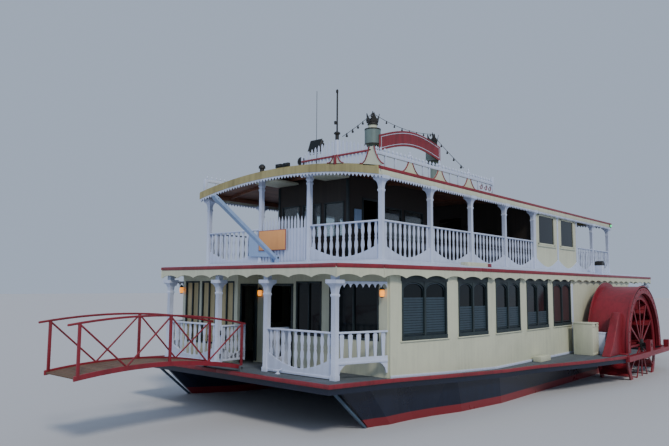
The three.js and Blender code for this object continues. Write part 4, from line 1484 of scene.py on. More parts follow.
@dataclass
class Wheelhouse(Assembly):
    """Frames, glass and trim on the CAD's deckhouse behind the picket gate."""

    fore: float = -1.10
    half: float = 1.35
    foot: float = UPPER_FLOOR + 0.01
    sill: float = 5.50
    front_panes: tuple = ((-1.22, -0.48), (-0.37, 0.37), (0.48, 1.22))
    side_panes: tuple = ((-3.85, -4.90), (-2.70, -3.70))
    door: tuple = (-2.52, -1.78)
    ceiling_lights: tuple = (-0.90, 1.05)

    def build(self) -> None:
        """Repaints the walls, then dresses the front, both sides and the ceiling before it."""
        # The deckhouse's walls take the nearly black boards of painted shade
        repaint(Look.PANEL, "wheelhouse")
        self.front()
        self.side()
        for y in self.ceiling_lights:
            self.box(Look.CREAM, (-1.0, y - 0.45, 7.11), (-0.1, y + 0.45, 7.17), 0.01)
            self.box(Look.CREAM, (-0.96, y - 0.41, 7.10), (-0.14, y + 0.41, 7.115))
        self.publish("ceiling_panels", Look.CREAM)

    def front(self) -> None:
        """Three panes, the corner posts and a board at the foot."""
        for y0, y1 in self.front_panes:
            self.sash(at(self.fore, y0, self.sill), Y_AXIS, y1 - y0)
        fore, half, foot = self.fore, self.half, self.foot
        for y in (-half, half):
            self.box(Look.FRAME, (fore - 0.04, y - 0.04, foot), (fore + 0.02, y + 0.04, 7.10), 0.006)
        self.box(Look.FRAME, (fore, -half, foot), (fore + 0.015, half, foot + 0.15), 0.005)
        self.publish("wheelhouse_front", Look.FRAME)

    def side(self) -> None:
        """Two panes, the doorway's frame and a light-blue notice plate left plain."""
        inner, outer = self.half - 0.06, self.half + 0.015
        for fore, aft in self.side_panes:
            self.sash(at(fore, self.half, self.sill), AFTWARDS, fore - aft)
        for x in self.door:
            self.box(Look.FRAME, (x - 0.03, inner, self.foot), (x + 0.03, outer, 6.64), 0.005)
        self.box(Look.FRAME, (self.door[0] - 0.03, inner, 6.60), (self.door[1] + 0.03, outer, 6.66), 0.005)
        self.box(Look.SKY, (-1.69, self.half, 5.75), (-1.38, self.half + 0.03, 6.30), 0.008)
        self.publish_pair("wheelhouse_side", Look.FRAME)

    def sash(self, foot: Vector, along: Point, width: float, height: float = 1.0, bar: float = 0.04) -> None:
        """Keeps one framed pane in a wall that faces outwards on the run's right hand.

        Args:
            foot: Its lower corner where the run starts.
            along: The way that the run goes.
            width: Width of the pane with its frame.
            height: Height of the pane with its frame.
            bar: Width of the frame.
        """
        out = Vector(along).cross(Vector(Z_AXIS))
        for strip in frame_bars(0, width, 0, height, bar):
            self.keep(Look.FRAME, board(square(*strip), 0.07, foot - out * 0.02, along, edge=0.004))
        pane = square(0.01, width - 0.01, 0.01, height - 0.01)
        self.keep(Look.CLEAR, board(pane, 0.008, foot - out * 0.025, along))


@dataclass
class UpperLounge(Assembly):
    """Windows and bulkheads of the enclosed part of the upper deck."""

    y: float = 3.36
    windows: tuple = ((-10.70, -9.20), (-12.65, -11.25))
    sill: float = 5.65
    head: float = 6.74
    frame: float = 0.06
    pilasters: tuple = (-8.93, -10.97, -12.92)
    foot_panels: tuple = ((-8.95, -10.95), (-10.98, -12.92))

    def build(self) -> None:
        """Repaints the walls and adds the side windows, pilasters and foot panels."""
        repaint(Look.CREAM, "lounge_side_port", "lounge_side_starboard", "lounge_aft")
        # The fore bulkhead takes the nearly black boards of painted shade
        repaint(Look.PANEL, "lounge_fore")
        for aft, fore in self.windows:
            self.window(aft, fore)
        for x in self.pilasters:
            self.box(Look.WHITE, (x - 0.05, self.y - 0.005, 4.71), (x + 0.05, self.y + 0.025, 6.85), 0.006)
        for fore, aft in self.foot_panels:
            bay = Balustrade(at(fore, self.y + 0.012, UPPER_FLOOR), at(aft, self.y + 0.012, UPPER_FLOOR))
            self.keep(Look.WHITE, board(bay.foot_panel(), 0.03, bay.start, AFTWARDS, edge=0.003))
        self.publish_pair("lounge_windows", Look.CREAM)

    def window(self, aft: float, fore: float) -> None:
        """A cream frame, its pane and its sill.

        Args:
            aft: The frame's after side.
            fore: The frame's fore side.
        """
        y, sill, head, bar = self.y, self.sill, self.head, self.frame
        for a, b, c, d in frame_bars(aft, fore, sill, head, bar):
            self.box(Look.CREAM, (a, y - 0.05, c), (b, y + 0.015, d), 0.005)
        self.box(Look.GLASS, (aft + 0.02, y - 0.03, sill + 0.02), (fore - 0.02, y - 0.02, head - 0.02), 0)
        self.box(Look.CREAM, (aft - bar, y - 0.01, sill - 0.06), (fore + bar, y + 0.04, sill - 0.01), 0.008)


@dataclass
class PaddleBox(Assembly):
    """A paddle wheel and the cover over it."""

    x: float = -12.83
    z: float = 2.08
    rims: tuple = (4.62, 5.59)
    rim: tuple = (1.64, 1.85)
    shaft: float = 0.07
    arms: int = 12
    # Inner and outer radius of each row of floats
    float_rows: tuple = ((1.27, 1.43), (1.44, 1.60), (1.61, 1.77), (1.78, 1.945))
    cover_inboard: float = 4.45
    cover_outboard: float = 5.78
    # Angle from level, in degrees, at which the cover ends
    cover_ends: float = -4.8
    bolts: int = 17

    def hub(self, y: float, out: float = 0.0, up: float = 0.0) -> Vector:
        """A point on the wheel's axis, or moved from it along the boat and up."""
        return at(self.x, y, self.z) + Vector((out, 0, up))

    def build(self) -> None:
        """Makes the wheel, then its cover."""
        self.wheel()
        self.cover()

    def wheel(self) -> None:
        """Shaft, hubs, rims, arms and floats."""
        inner, outer = self.rims
        low, high = self.rim
        self.keep(Look.BLACK, rod(self.hub(4.17), self.hub(5.96), self.shaft, 24))
        for y in self.rims:
            self.keep(Look.RED, turned(square(low, high, 0, 0.05), self.hub(y), 64, Y_AXIS))
            boss = [(self.shaft, -0.02), (0.21, -0.02), (0.21, 0.07), (0.15, 0.09), (self.shaft, 0.09)]
            self.keep(Look.BLACK, turned(boss, self.hub(y), 32, Y_AXIS))
            arm = block(self.hub(y + 0.01, 0.15, -0.035), self.hub(y + 0.04, 1.82, 0.035), 0.006)
            self.all_round(Look.RED, arm)
            bolt = rod(self.hub(y - 0.03, 0.175), self.hub(y + 0.085, 0.175), 0.014, 6)
            self.all_round(Look.BLACK, bolt, 8)
        sleeve = [(self.shaft, 0), (0.12, 0), (0.12, 0.9), (self.shaft, 0.9)]
        self.keep(Look.RED, turned(sleeve, self.hub(inner + 0.05), 24, Y_AXIS))
        for near, far in self.float_rows:
            plank = block(self.hub(inner + 0.045, near, -0.02), self.hub(outer + 0.005, far, 0.02), 0.006)
            self.all_round(Look.RED, plank)
        self.publish_pair("wheel", Look.RED, "paddle_wheel", "wheel")

    def all_round(self, look: Look, piece: Piece, count: int = 0) -> None:
        """Keeps a piece and its copies round the axis, as many as there are arms unless a count is given."""
        self.keep(look, *around(piece, count or self.arms, self.hub(0), Y_AXIS))

    @staticmethod
    def hoop(low: float, high: float, start: float, steps: int = 56) -> Drawing:
        """Half a hoop between two radii, from start degrees to the same angle at the other side."""
        return arc(high, start, 180 - start, steps) + arc(low, 180 - start, start, steps)

    def cover(self) -> None:
        """The drum over the wheel, its face ring with bolts, inboard flange, feet and fin."""
        near, far, ends = self.cover_inboard, self.cover_outboard, self.cover_ends
        # Outline, thickness, middle and softened edge: drum, face ring, flange, inboard plate, inner lip
        for outline, thick, y, edge in ((self.hoop(2.07, 2.11, ends), far - near, (near + far) / 2, 0.003),
                                        (self.hoop(1.86, 2.14, ends), 0.08, far - 0.04, 0.008),
                                        (self.hoop(2.09, 2.26, 3.5), 0.04, near + 0.02, 0.004),
                                        (arc(2.08, ends, 180 - ends, 56), 0.04, near + 0.02, 0.0),
                                        (self.hoop(1.86, 1.89, ends), 0.11, far - 0.045, 0.003)):
            self.keep(Look.RED, board(outline, thick, self.hub(y), X_AXIS, edge=edge))
        for out, up in arc(2.0, 6, 6 + (self.bolts - 1) * 10.5, self.bolts - 1):
            self.keep(Look.RED, rod(self.hub(far - 0.01, out, up), self.hub(far + 0.017, out, up), 0.022, 6))
        self.box(Look.RED, (self.x - 0.15, 4.25, LOWER_FLOOR), (self.x + 0.15, near + 0.02, 2.26), 0.02)
        back = [(-10.65, 3.30), (-11.06, 3.24), (-10.76, 2.60), (-10.74, LOWER_FLOOR)]
        fin = [(-9.47, LOWER_FLOOR), (-9.85, 2.25), (-10.25, 2.78), *back]
        self.keep(Look.RED, board(in_frame(fin), 0.28, (0, 5.42, 0), X_AXIS, edge=0.02))
        for x in (self.x + 2.2, self.x - 2.2):
            self.box(Look.RED, (x - 0.16, near, LOWER_FLOOR), (x + 0.16, far, LOWER_FLOOR + 0.049), 0.008)
        self.publish_pair("cover", Look.RED, "wheel_cover")


@dataclass
class Funnels(Assembly):
    """Two crowned funnels with the arched band between them."""

    places: tuple = (("fore", -4.0), ("aft", -7.7))
    leaves: int = 5
    # Half widths of the band: its edge, its border's two edges and its inner board
    edge: float = 0.27
    border: tuple = (0.178, 0.198)
    inner: float = 0.17
    middle_y: float = 0.291

    def build(self) -> None:
        """Makes both funnels and the band."""
        for name, x in self.places:
            axis = at(x, 0, 0)
            self.pipe_and_drum(axis)
            self.crown(axis)
            self.publish(f"crowned_funnel_{name}", Look.FUNNEL, f"funnel_{name}")
        self.band()

    def pipe_and_drum(self, axis: Vector) -> None:
        """Pipe, drum with dark hoops, foot collar and cream neck.

        Args:
            axis: Where the funnel's axis meets z = 0.
        """
        drum = [(0.17, 8.76), (0.265, 8.79), (0.265, 9.30), (0.18, 9.33), (0, 9.33)]
        self.keep(Look.FUNNEL, turned([(0, 7.28), (0.17, 7.28), *drum], axis, 48))
        for z in (8.785, 9.29):
            self.keep(Look.BLACK, turned(square(0.25, 0.272, z - 0.02, z + 0.02), axis, 48))
        collar = [(0.16, 7.36), (0.24, 7.34), (0.20, 7.42), (0.175, 7.46), (0.16, 7.46)]
        self.keep(Look.BLACK, turned(collar, axis, 48))
        neck = [(0, 9.32), (0.16, 9.32), (0.145, 9.38), (0.15, 9.45), (0, 9.45)]
        self.keep(Look.CREAM, turned(neck, axis, 40))

    def crown(self, axis: Vector) -> None:
        """A black crown of broad pointed leaves round a knob.

        Args:
            axis: Where the funnel's axis meets z = 0.
        """
        lip = [(0.18, 9.47), (0.165, 9.50), (0.185, 9.56), (0.17, 9.56), (0.15, 9.52), (0, 9.52)]
        self.keep(Look.BLACK, turned([(0, 9.44), (0.165, 9.44), *lip], axis, 40))
        right = [(0.116, 0), (0.124, 0.09), (0.05, 0.17), (0.012, 0.30)]
        outline = [(-0.116, 0), *right, *((-u, v) for u, v in reversed(right[1:]))]
        leaf = board(outline, 0.016, axis + Vector((0.160, 0, 9.53)), Y_AXIS, (0.22, 0, 1))
        turn = Matrix.Rotation(math.radians(49), 4, "Z")
        leaf.data.transform(Matrix.Translation(axis) @ turn @ Matrix.Translation(-axis))
        self.keep(Look.BLACK, *around(leaf, self.leaves, axis, Z_AXIS))
        knob = [(0, 9.80), (0.03, 9.81), (0.04, 9.84), (0.03, 9.87), (0, 9.88)]
        self.keep(Look.BLACK, rod(axis + rise(9.5), axis + rise(9.92), 0.016, 8), turned(knob, axis, 12))

    @staticmethod
    def bow(t: float) -> tuple[float, float]:
        """A point on the band's middle line, t from 0 at the fore funnel to 1 at the after one."""
        fore, aft = -3.97, -7.74
        return fore + (aft - fore) * t + FRONT_POSTS, 8.81 + 0.24 * t + 0.33 * math.sin(math.pi * t)

    def strip(self, low: float, high: float, trim: float, steps: int = 36) -> Drawing:
        """A strip along the band between two heights off its middle line, trim left off each end."""
        line = [self.bow(trim + (1 - 2 * trim) * i / steps) for i in range(steps + 1)]
        return [(x, z + low) for x, z in line] + [(x, z + high) for x, z in reversed(line)]

    def band(self) -> None:
        """A plain arched board with a raised inner board and a light border on its port face."""
        y, trim = self.middle_y, 0.024
        near, far = self.border
        self.keep(Look.RED, board(self.strip(-self.edge, self.edge, 0.0), 0.035, (0, y, 0), edge=0.004),
                  board(self.strip(-self.inner, self.inner, 0.030), 0.012, (0, y + 0.012, 0), edge=0.003))
        for low, high in ((near, far), (-far, -near)):
            self.keep(Look.WHITE, board(self.strip(low, high, trim), 0.012, (0, y + 0.02, 0)))
        for t in (trim, 1 - trim):
            x, z = self.bow(t)
            self.keep(Look.WHITE, block((x - 0.01, y + 0.014, z - far), (x + 0.01, y + 0.026, z + far), 0))
        self.publish("arched_band", Look.RED, "sign_band")


@dataclass
class RoofRail(Assembly):
    """The picket fence over the bow and the spiked rails along the sides of the roof."""

    roof: Roof = field(default_factory=Roof)
    pickets: int = 19
    rail_x: float = 0.285
    # Place across, half width and top of each bell foot over the bow
    front_bells: tuple = ((2.1, 0.27, 7.45), (3.26, 0.36, 7.50))
    side_y: float = 3.30
    side_end: float = -5.93
    side_top: float = 7.42
    side_bells: tuple = (-1.28, -2.73, -4.36)
    side_posts: tuple = (-0.2, -0.62, -1.9, -2.2, -3.3, -3.75, -4.95)
    spikes: int = 36
    scrolls: tuple = (-5.15, -5.45, -5.70)

    def build(self) -> None:
        """Makes the front fence and both sides."""
        self.front()
        self.side()

    def bell(self, foot: Vector, half: float, height: float, along: Point, out: Vector) -> None:
        """Keeps a cream foot that flares like a bell, with a red rib down each side.

        Args:
            foot: Middle of its foot.
            half: Half its width at the foot.
            height: Its height.
            along: The way that its width runs.
            out: The way that the ribs stand off it.
        """
        shares = ((1, 0), (0.78, 0.12), (0.55, 0.34), (0.38, 0.6), (0.24, 0.88), (0.20, 1))
        right = [(half * u, height * v) for u, v in shares]
        outline = right + [(-u, v) for u, v in reversed(right)]
        self.keep(Look.CREAM, board(outline, 0.03, foot, along, edge=0.003))
        for sign in BOTH:
            rib = [foot + Vector(along) * (sign * u) + rise(v) + out * 0.018 for u, v in right]
            for knot in rib:
                knot.z = max(knot.z, self.roof.camber(min(knot.y, self.roof.half)) + 0.005)
            self.keep(Look.RED, pipe(rib, 0.016))

    def front(self) -> None:
        """Tall pickets on a red rail, with bell feet edged in red."""
        last = self.pickets - 1
        for i in range(self.pickets):
            top = 0.58 + 0.26 * math.sin(math.pi * i / last)
            picket = [(-0.027, 0), (0.027, 0), (0.027, top - 0.06), (0, top), (-0.027, top - 0.06)]
            self.keep(Look.WHITE, board(picket, 0.02, at(0.259, 0.90 + i * 2.15 / last, 7.0), Y_AXIS))
        x = self.rail_x
        self.keep(Look.RED, beam(at(x, 0.9, 7.42), at(x, 3.24, 7.42), 0.03, 0.05, 0.008))
        for y, half, top in self.front_bells:
            base = self.roof.camber(y) - 0.04
            self.bell(at(x, y, base), half, top - base, Y_AXIS, Vector(X_AXIS))
        self.box(Look.RED, (0.29, 2.06, 7.20), (0.325, 2.14, 7.44), 0.006)
        self.publish("bow_pickets", Look.WHITE, "roof_fence_front")

    def side(self) -> None:
        """Spiked top rail on thin posts, bell feet and a scroll panel in the last bay."""
        y, end, top = self.side_y, self.side_end, self.side_top
        base = self.roof.camber(y) - 0.02
        self.box(Look.WHITE, (end, y - 0.035, top - 0.085), (0.26, y + 0.035, top), 0.01)
        spike = [(0, 0), (0.022, 0), (0.016, 0.02), (0.034, 0.055), (0.030, 0.08), (0.01, 0.105), (0, 0.13)]
        first = turned(spike, at(0.16, y, top - 0.005), 10)
        self.keep(Look.WHITE, repeat(first, self.spikes, (-0.172, 0, 0)))
        finial = [(0, 0), (0.045, 0), (0.035, 0.05), (0.055, 0.10), (0.025, 0.15), (0.03, 0.18), (0, 0.26)]
        for x in self.side_bells:
            self.bell(at(x, y, base), 0.42, top - 0.07 - base, X_AXIS, Vector(Y_AXIS))
            self.keep(Look.WHITE, turned(finial, at(x, y, top - 0.02), 12))
        for x in self.side_posts:
            self.box(Look.WHITE, (x - 0.024, y - 0.024, base), (x + 0.024, y + 0.024, top - 0.06))
        self.box(Look.WHITE, (end, y - 0.045, base), (end + 0.09, y + 0.045, 7.60), 0.008)
        self.box(Look.WHITE, (0.18, y - 0.045, base), (0.27, y + 0.045, top), 0.008)
        for x in self.scrolls:
            self.keep(Look.WHITE, pipe([at(x + u, y, 7.19 + v) for u, v in arc(0.12, 0, 300, 16)], 0.018))
            self.keep(Look.RED, pipe([at(x + u, y, 7.19 + v) for u, v in arc(0.06, 90, 390, 12)], 0.012))
        self.publish_pair("roof_rail", Look.WHITE, "roof_fence")


@dataclass
class RoofFittings(Assembly):
    """Mast, antenna, vent and lamps on the roof."""

    top: Curve = field(default_factory=lambda: Roof().camber)
    mast_x: float = -2.2
    whip: tuple = (-2.35, -1)
    vent: tuple = (0.12, -0.83)
    searchlight: tuple = (-0.5, 0.70, 8.02)
    lamp_radius: float = 0.11

    def build(self) -> None:
        """Makes each fitting on its own."""
        self.mast()
        whip = [(0, 7.28), (0.05, 7.28), (0.03, 7.4), (0.022, 8.2), (0, 8.2)]
        self.keep(Look.BLACK, turned(whip, at(*self.whip, 0), 12),
                  rod(at(*self.whip, 8.15), at(*self.whip, 10.40), 0.008, 8))
        self.publish("whip", Look.BLACK, "antenna")
        flange = [(0, 0), (0.09, 0), (0.09, 0.03), (0.065, 0.04)]
        dome = [(0.065, 0.15), (0.10, 0.16), (0.095, 0.22), (0.05, 0.27), (0, 0.285)]
        self.keep(Look.BLACK, turned(flange + dome, at(*self.vent, self.top(self.vent[1]) - 0.02), 28))
        self.publish("dome_vent", Look.BLACK, "roof_vent")
        self.twin_floods()
        self.bow_lamp()
        self.search_lamp()

    def mast(self) -> None:
        """White mast with a black head, a thin pole and two small lamps on it."""
        x, foot = self.mast_x, self.top(0) - 0.02
        lower = [(0, foot), (0.11, foot), (0.10, 7.42), (0.085, 7.45), (0.075, 8.60), (0, 8.65)]
        self.keep(Look.WHITE, turned(lower, at(x, 0, 0), 24))
        head = [(0.058, 8.78), (0.10, 8.80), (0.10, 8.84), (0.04, 8.88), (0, 8.89)]
        lamp = [(0, 9.08), (0.035, 9.09), (0.04, 9.18), (0, 9.20)]
        tip = [(0, 10.08), (0.036, 10.10), (0.040, 10.17), (0, 10.22)]
        self.keep(Look.BLACK, turned([(0, 8.60), (0.058, 8.60), *head], at(x, 0, 0), 20),
                  rod(at(x, 0, 8.7), at(x, 0, 10.21), 0.026),
                  rod(at(x, 0, 9.12), at(x + 0.10, 0, 9.12), 0.012, 8),
                  turned(lamp, at(x + 0.09, 0, 0), 12), turned(tip, at(x + 0.03, 0.02, 0), 12))
        self.publish("mast_post", Look.WHITE, "mast")

    def twin_floods(self) -> None:
        """Two flood lamps side by side on one foot."""
        self.keep(Look.BLACK, rod(at(0.11, 0, self.top(0) - 0.01), at(0.11, 0, 7.48), 0.025))
        for y in (-0.145, 0.145):
            self.box(Look.BLACK, (0.06, y - 0.11, 7.41), (0.15, y + 0.11, 7.52), 0.012)
            self.box(Look.GLASS, (0.15, y - 0.095, 7.425), (0.156, y + 0.095, 7.505), 0.002)
        self.box(Look.BLACK, (0.08, -0.05, 7.44), (0.10, 0.05, 7.47), 0.003)
        self.publish("twin_floods", Look.BLACK, "flood_lamps")

    def bow_lamp(self) -> None:
        """A round lamp that faces the bow."""
        spot, r = at(0.10, 0.76, 7.47), self.lamp_radius
        bezel = [(r, r * 1.7), (r * 1.04, r * 1.75), (r * 0.9, r * 1.75), (0, r * 1.65)]
        shell = [(0, 0), (r * 0.5, 0), (r * 0.85, r * 0.4), (r, r), *bezel]
        self.keep(Look.BLACK, turned(shell, spot - Vector((r, 0, 0)), 28, X_AXIS),
                  rod(at(0.10, 0.76, self.top(0.76) - 0.01), at(0.10, 0.76, 7.37), 0.026))
        pane = [(0, 0), (r * 0.88, 0), (r * 0.88, 0.008), (0, 0.012)]
        self.keep(Look.GLASS, turned(pane, spot + Vector((r * 0.66, 0, 0)), 28, X_AXIS))
        self.publish("bow_lamp", Look.BLACK, "round_lamp")

    def search_lamp(self) -> None:
        """A square flood lamp on a forked foot, tipped back, with cooling fins behind it."""
        spot = at(*self.searchlight)
        ahead = Vector((0.94, 0, 0.34)).normalized()
        up, across = Vector((-ahead.z, 0, ahead.x)), Vector(Y_AXIS)
        # Case, its back, rim and glass: half width and height, back and front from the middle, softened edge
        for look, half, tall, back, front, edge in ((Look.BLACK, 0.21, 0.16, -0.05, 0.05, 0.015),
                                                    (Look.BLACK, 0.12, 0.10, -0.13, -0.04, 0.02),
                                                    (Look.BLACK, 0.225, 0.175, 0.04, 0.06, 0.006),
                                                    (Look.GLASS, 0.195, 0.145, 0.055, 0.064, 0.0)):
            middle = spot + ahead * (front + back) / 2
            self.keep(look, board(square(-half, half, -tall, tall), front - back, middle, across, up, edge))
        for i in range(7):
            fin = spot + ahead * -0.09 + across * (-0.15 + 0.05 * i)
            self.keep(Look.BLACK, board(square(-0.05, 0.05, -0.13, 0.13), 0.008, fin, ahead, up))
        fork = [spot + Vector((0, y, z)) for y, z in ((-0.24, 0), (-0.24, -0.22), (0.24, -0.22), (0.24, 0))]
        stand = Vector((spot.x, spot.y, self.top(0.7) - 0.01))
        self.keep(Look.BLACK, pipe(fork, 0.014), rod(stand, spot - rise(0.21), 0.03))
        for side in BOTH:
            self.keep(Look.BLACK, rod(spot + across * 0.20 * side, spot + across * 0.26 * side, 0.022))
        self.publish("search_lamp", Look.BLACK, "searchlight")


@dataclass
class Festoon(Assembly):
    """Lamp wire from the bow pickets over both crowns to the roof's side rail."""

    stops: tuple = ((0.25, 2.3, 7.90), (-4.0, 0.0, 9.86), (-7.7, 0.0, 9.86), (-4.08, 3.30, 7.62))
    # Lamps on each span, and its sag
    spans: tuple = ((6, 0.03), (8, 0.18), (5, 0.04))

    def build(self) -> None:
        """Hangs the wire span by span and sets the lamps on it."""
        lamp = [(0, 0.01), (0.018, 0.01), (0.018, -0.035), (0.034, -0.06), (0.030, -0.085), (0, -0.10)]
        for a, b, (count, sag) in zip(self.stops, self.stops[1:], self.spans):
            steps = count * 3
            shares = [i / steps for i in range(steps + 1)]
            points = [at(*a).lerp(at(*b), t) - rise(4 * sag * t * (1 - t)) for t in shares]
            self.keep(Look.BLACK, pipe(points, 0.008, 2))
            for point in points[2:-1:3]:
                self.keep(Look.BLACK, turned(lamp, point, 8))
        self.publish("festoon", Look.BLACK)


@dataclass
class Gangway(Assembly):
    """Bow gangway: planked walk between two braced rails."""

    half: float = 0.62
    posts: tuple = (1.99, 4.0, 6.05)
    # Heights at the ship, in the middle and ashore
    walk_heights: tuple = (2.18, 2.44, 2.35)
    hand_heights: tuple = (3.23, 3.48, 3.40)
    planks: int = 29
    plank_pitch: float = 0.1425
    pivot: tuple = (2.05, 0.73, 2.19)

    @staticmethod
    def curve(x: float, ship: float, mid: float, shore: float) -> float:
        """Height at x of a rail that arches from the ship to the shore."""
        t = (x - 1.95) / 4.1
        return ship + (4 * mid - 3 * ship - shore) * t + (2 * ship + 2 * shore - 4 * mid) * t * t

    def walk(self, x: float) -> float:
        """Height of the walk."""
        return self.curve(x, *self.walk_heights)

    def hand(self, x: float) -> float:
        """Height of the handrail."""
        return self.curve(x, *self.hand_heights)

    @staticmethod
    def strip(fore: float, aft: float, curve: Curve, below: float, above: float, steps: int = 16) -> Outline:
        """A bar from aft to fore that follows a curve, from below it to above it."""
        xs = [aft + (fore - aft) * i / steps for i in range(steps + 1)]
        return in_frame([(x, curve(x) - below) for x in xs] + [(x, curve(x) + above) for x in reversed(xs)])

    def build(self) -> None:
        """Makes the rails, planks and pivot."""
        for side in BOTH:
            self.rail(side * self.half)
        for i in range(self.planks):
            x = 1.985 + i * self.plank_pitch
            slope = (self.walk(x + 0.07) - self.walk(x - 0.07)) / 0.14
            foot, run = at(x, 0, self.walk(x) + 0.006), Vector((1, 0, slope))
            self.keep(Look.GANG_PLANK, board(square(0, 0.132, -0.015, 0.015), 2 * self.half - 0.05, foot, run,
                                             Vector((-slope, 0, 1)), edge=0.004))
        x, y, z = self.pivot
        self.keep(Look.BLACK, rod(at(x, -y, z), at(x, y, z), 0.02, 16))
        self.publish("gangway_frame", Look.RED, "gangway", body="gangway")

    def rail(self, y: float) -> None:
        """One side: bearer, handrail, posts and crossed braces.

        Args:
            y: Its place across the boat.
        """
        bearer = self.strip(6.13, 1.955, self.walk, 0.04, 0.06)
        handrail = self.strip(6.29, 1.89, self.hand, 0.022, 0.022)
        self.keep(Look.RED, board(bearer, 0.042, (0, y, 0), edge=0.006),
                  board(handrail, 0.05, (0, y, 0), edge=0.009))
        for x in self.posts:
            foot, head = self.walk(x) - 0.03, self.hand(x)
            self.box(Look.RED, (x - 0.03, y - 0.022, foot), (x + 0.03, y + 0.022, head), 0.006)
        for aft, fore in zip(self.posts, self.posts[1:]):
            mid = (fore + aft) / 2
            for x in (fore, aft):
                head = at(x, y, self.hand(x) - 0.02)
                self.keep(Look.RED, rod(head, at(mid, y, self.walk(mid) + 0.04), 0.019, 10))


@dataclass
class Boom(Assembly):
    """The light-blue boom over the bow, with its tip fitting."""

    raise_deg: float = 34.5
    length: float = 2.6
    pin: tuple = (0.34, 4.89)

    def build(self) -> None:
        """Makes the beam, its pin and the eye at its tip."""
        angle = math.radians(self.raise_deg)
        along = Vector((math.cos(angle), 0, math.sin(angle)))
        up = Vector((-along.z, 0, along.x))
        x, z = self.pin
        tip = self.length
        outline = [(-0.04, -0.045), (tip - 0.1, -0.05), (tip, -0.02), (tip, 0.02), (tip - 0.1, 0.05),
                   (-0.04, 0.045)]
        self.keep(Look.SKY, board(outline, 0.14, at(x, 0, z), along, up, 0.01))
        eye, half = at(x, 0, z) + along * (tip - 0.15), Vector((0, 0.075, 0))
        self.keep(Look.BLACK, rod(at(x, -0.13, z), at(x, 0.13, z), 0.025, 16),
                  rod(eye - half, eye + half, 0.012, 10))
        self.publish("boom_beam", Look.SKY, "boom", body="boom")


@dataclass
class DeckFittings(Assembly):
    """Lockers, small boxes, after rails and the stair."""

    # Fore end, after end and place across
    stern_rail: tuple = (-17.0, -19.85, 4.08)
    string_half: float = 0.43
    stair_foot: tuple = (-19.56, 1.88)
    stair_head: tuple = (-17.085, UPPER_FLOOR)
    steps: int = 11

    def build(self) -> None:
        """Makes the lockers, the boxes, the stern's balustrade and the stair."""
        self.locker("fore", Look.CREAM, (-10.15, -9.56), (4.35, 5.0), 2.96)
        self.locker("aft", Look.WHITE, (-10.45, -10.17), (4.55, 5.20), 2.62)
        self.small_boxes()
        self.stern_balustrade()
        self.stair()

    def locker(self, name: str, look: Look, xs: tuple[float, float], ys: tuple[float, float],
               top: float) -> None:
        """A chest with an overhanging lid, battens and a hasp.

        Args:
            name: Which locker it is.
            look: Its finish.
            xs: Its after and fore ends.
            ys: Its inboard and outboard sides.
            top: Height of its lid.
        """
        (x0, x1), (y0, y1) = xs, ys
        self.box(look, (x0, y0, LOWER_FLOOR), (x1, y1, top - 0.05), 0.012)
        self.box(look, (x0 - 0.012, y0 - 0.012, top - 0.05), (x1 + 0.012, y1 + 0.012, top), 0.014)
        for z in (1.93, top - 0.12):
            self.box(look, (x0 + 0.01, y1 - 0.005, z - 0.03), (x1 - 0.01, y1 + 0.01, z + 0.03))
        middle = (x0 + x1) / 2
        low, high = (middle - 0.02, y1 + 0.008, top - 0.13), (middle + 0.02, y1 + 0.018, top - 0.03)
        self.box(Look.BLACK, low, high, 0.003)
        self.publish(f"locker_{name}", look, f"deck_locker_{name}")

    def small_boxes(self) -> None:
        """A step box, a long low box, a round-topped vent and the lamp under the roof's after corner."""
        self.box(Look.CREAM, (-7.3, 4.2, 1.882), (-6.55, 4.46, 2.04), 0.012)
        self.publish("step_box", Look.CREAM)
        self.box(Look.CREAM, (-4.40, 3.62, 4.68), (-3.25, 3.86, 4.82), 0.012)
        self.box(Look.RED, (-4.66, 3.64, 4.68), (-4.40, 3.85, 4.81), 0.02)
        self.publish("edge_box", Look.CREAM)
        self.box(Look.WHITE, (-14.24, 3.72, 4.66), (-13.90, 4.00, 5.04), 0.012)
        self.keep(Look.BLACK, board(arc(0.18, 0, 180, 16), 0.29, at(-14.07, 3.86, 5.04), X_AXIS, edge=0.006))
        self.publish("round_topped_vent", Look.WHITE)
        self.box(Look.BLACK, (-16.96, 3.465, 6.82), (-16.80, 3.50, 6.95), 0.008)
        globe = [(0, 0), (0.055, 0), (0.05, 0.03), (0.03, 0.05), (0, 0.06)]
        self.keep(Look.GREEN_LAMP, turned(globe, at(-16.88, 3.495, 6.885), 20, Y_AXIS))
        self.publish("green_side_lamp", Look.BLACK)

    def stern_balustrade(self) -> None:
        """Bays along the side and across the stern, a tall corner post and a short post amidships."""
        fore, aft, side = self.stern_rail
        gap, floor = 0.06, LOWER_FLOOR
        self.keep(Look.WHITE, *Balustrade(at(fore, side, floor), at(aft + gap, side, floor)).build(),
                  *Balustrade(at(aft, side - gap, floor), at(aft, 0.76, floor)).build(),
                  post(aft, side, floor, LOWER_HEAD, 0.062, 0.155, top=LOWER_TOP),
                  post(aft, 0.7, floor, floor + 1.10, spread=0.085, flare=0.1))
        self.publish_pair("stern_balustrade", Look.WHITE, "aft_rail")

    def stair(self) -> None:
        """Two strings with planked treads between them."""
        (x0, z0), (x1, z1), half = self.stair_foot, self.stair_head, self.string_half
        run, climb = (x1 - x0) / self.steps, (z1 - z0) / self.steps
        string = [(x0, LOWER_FLOOR), (x0 + 0.30, LOWER_FLOOR), (x1, z1 - 0.33), (x1, z1), (x1 - 0.12, z1)]
        for y in (-half, half):
            self.keep(Look.STAIR_WOOD, board(in_frame(string), 0.04, (0, y, 0), edge=0.004))
        for i in range(1, self.steps):
            x, z = x0 + run * i, z0 + climb * i
            low, high = (x - 0.02, 0.01 - half, z - 0.04), (x + run - 0.02, half - 0.01, z)
            self.box(Look.STAIR_WOOD, low, high, 0.006)
        self.publish("plank_stair", Look.STAIR_WOOD, "stair")


# Stage


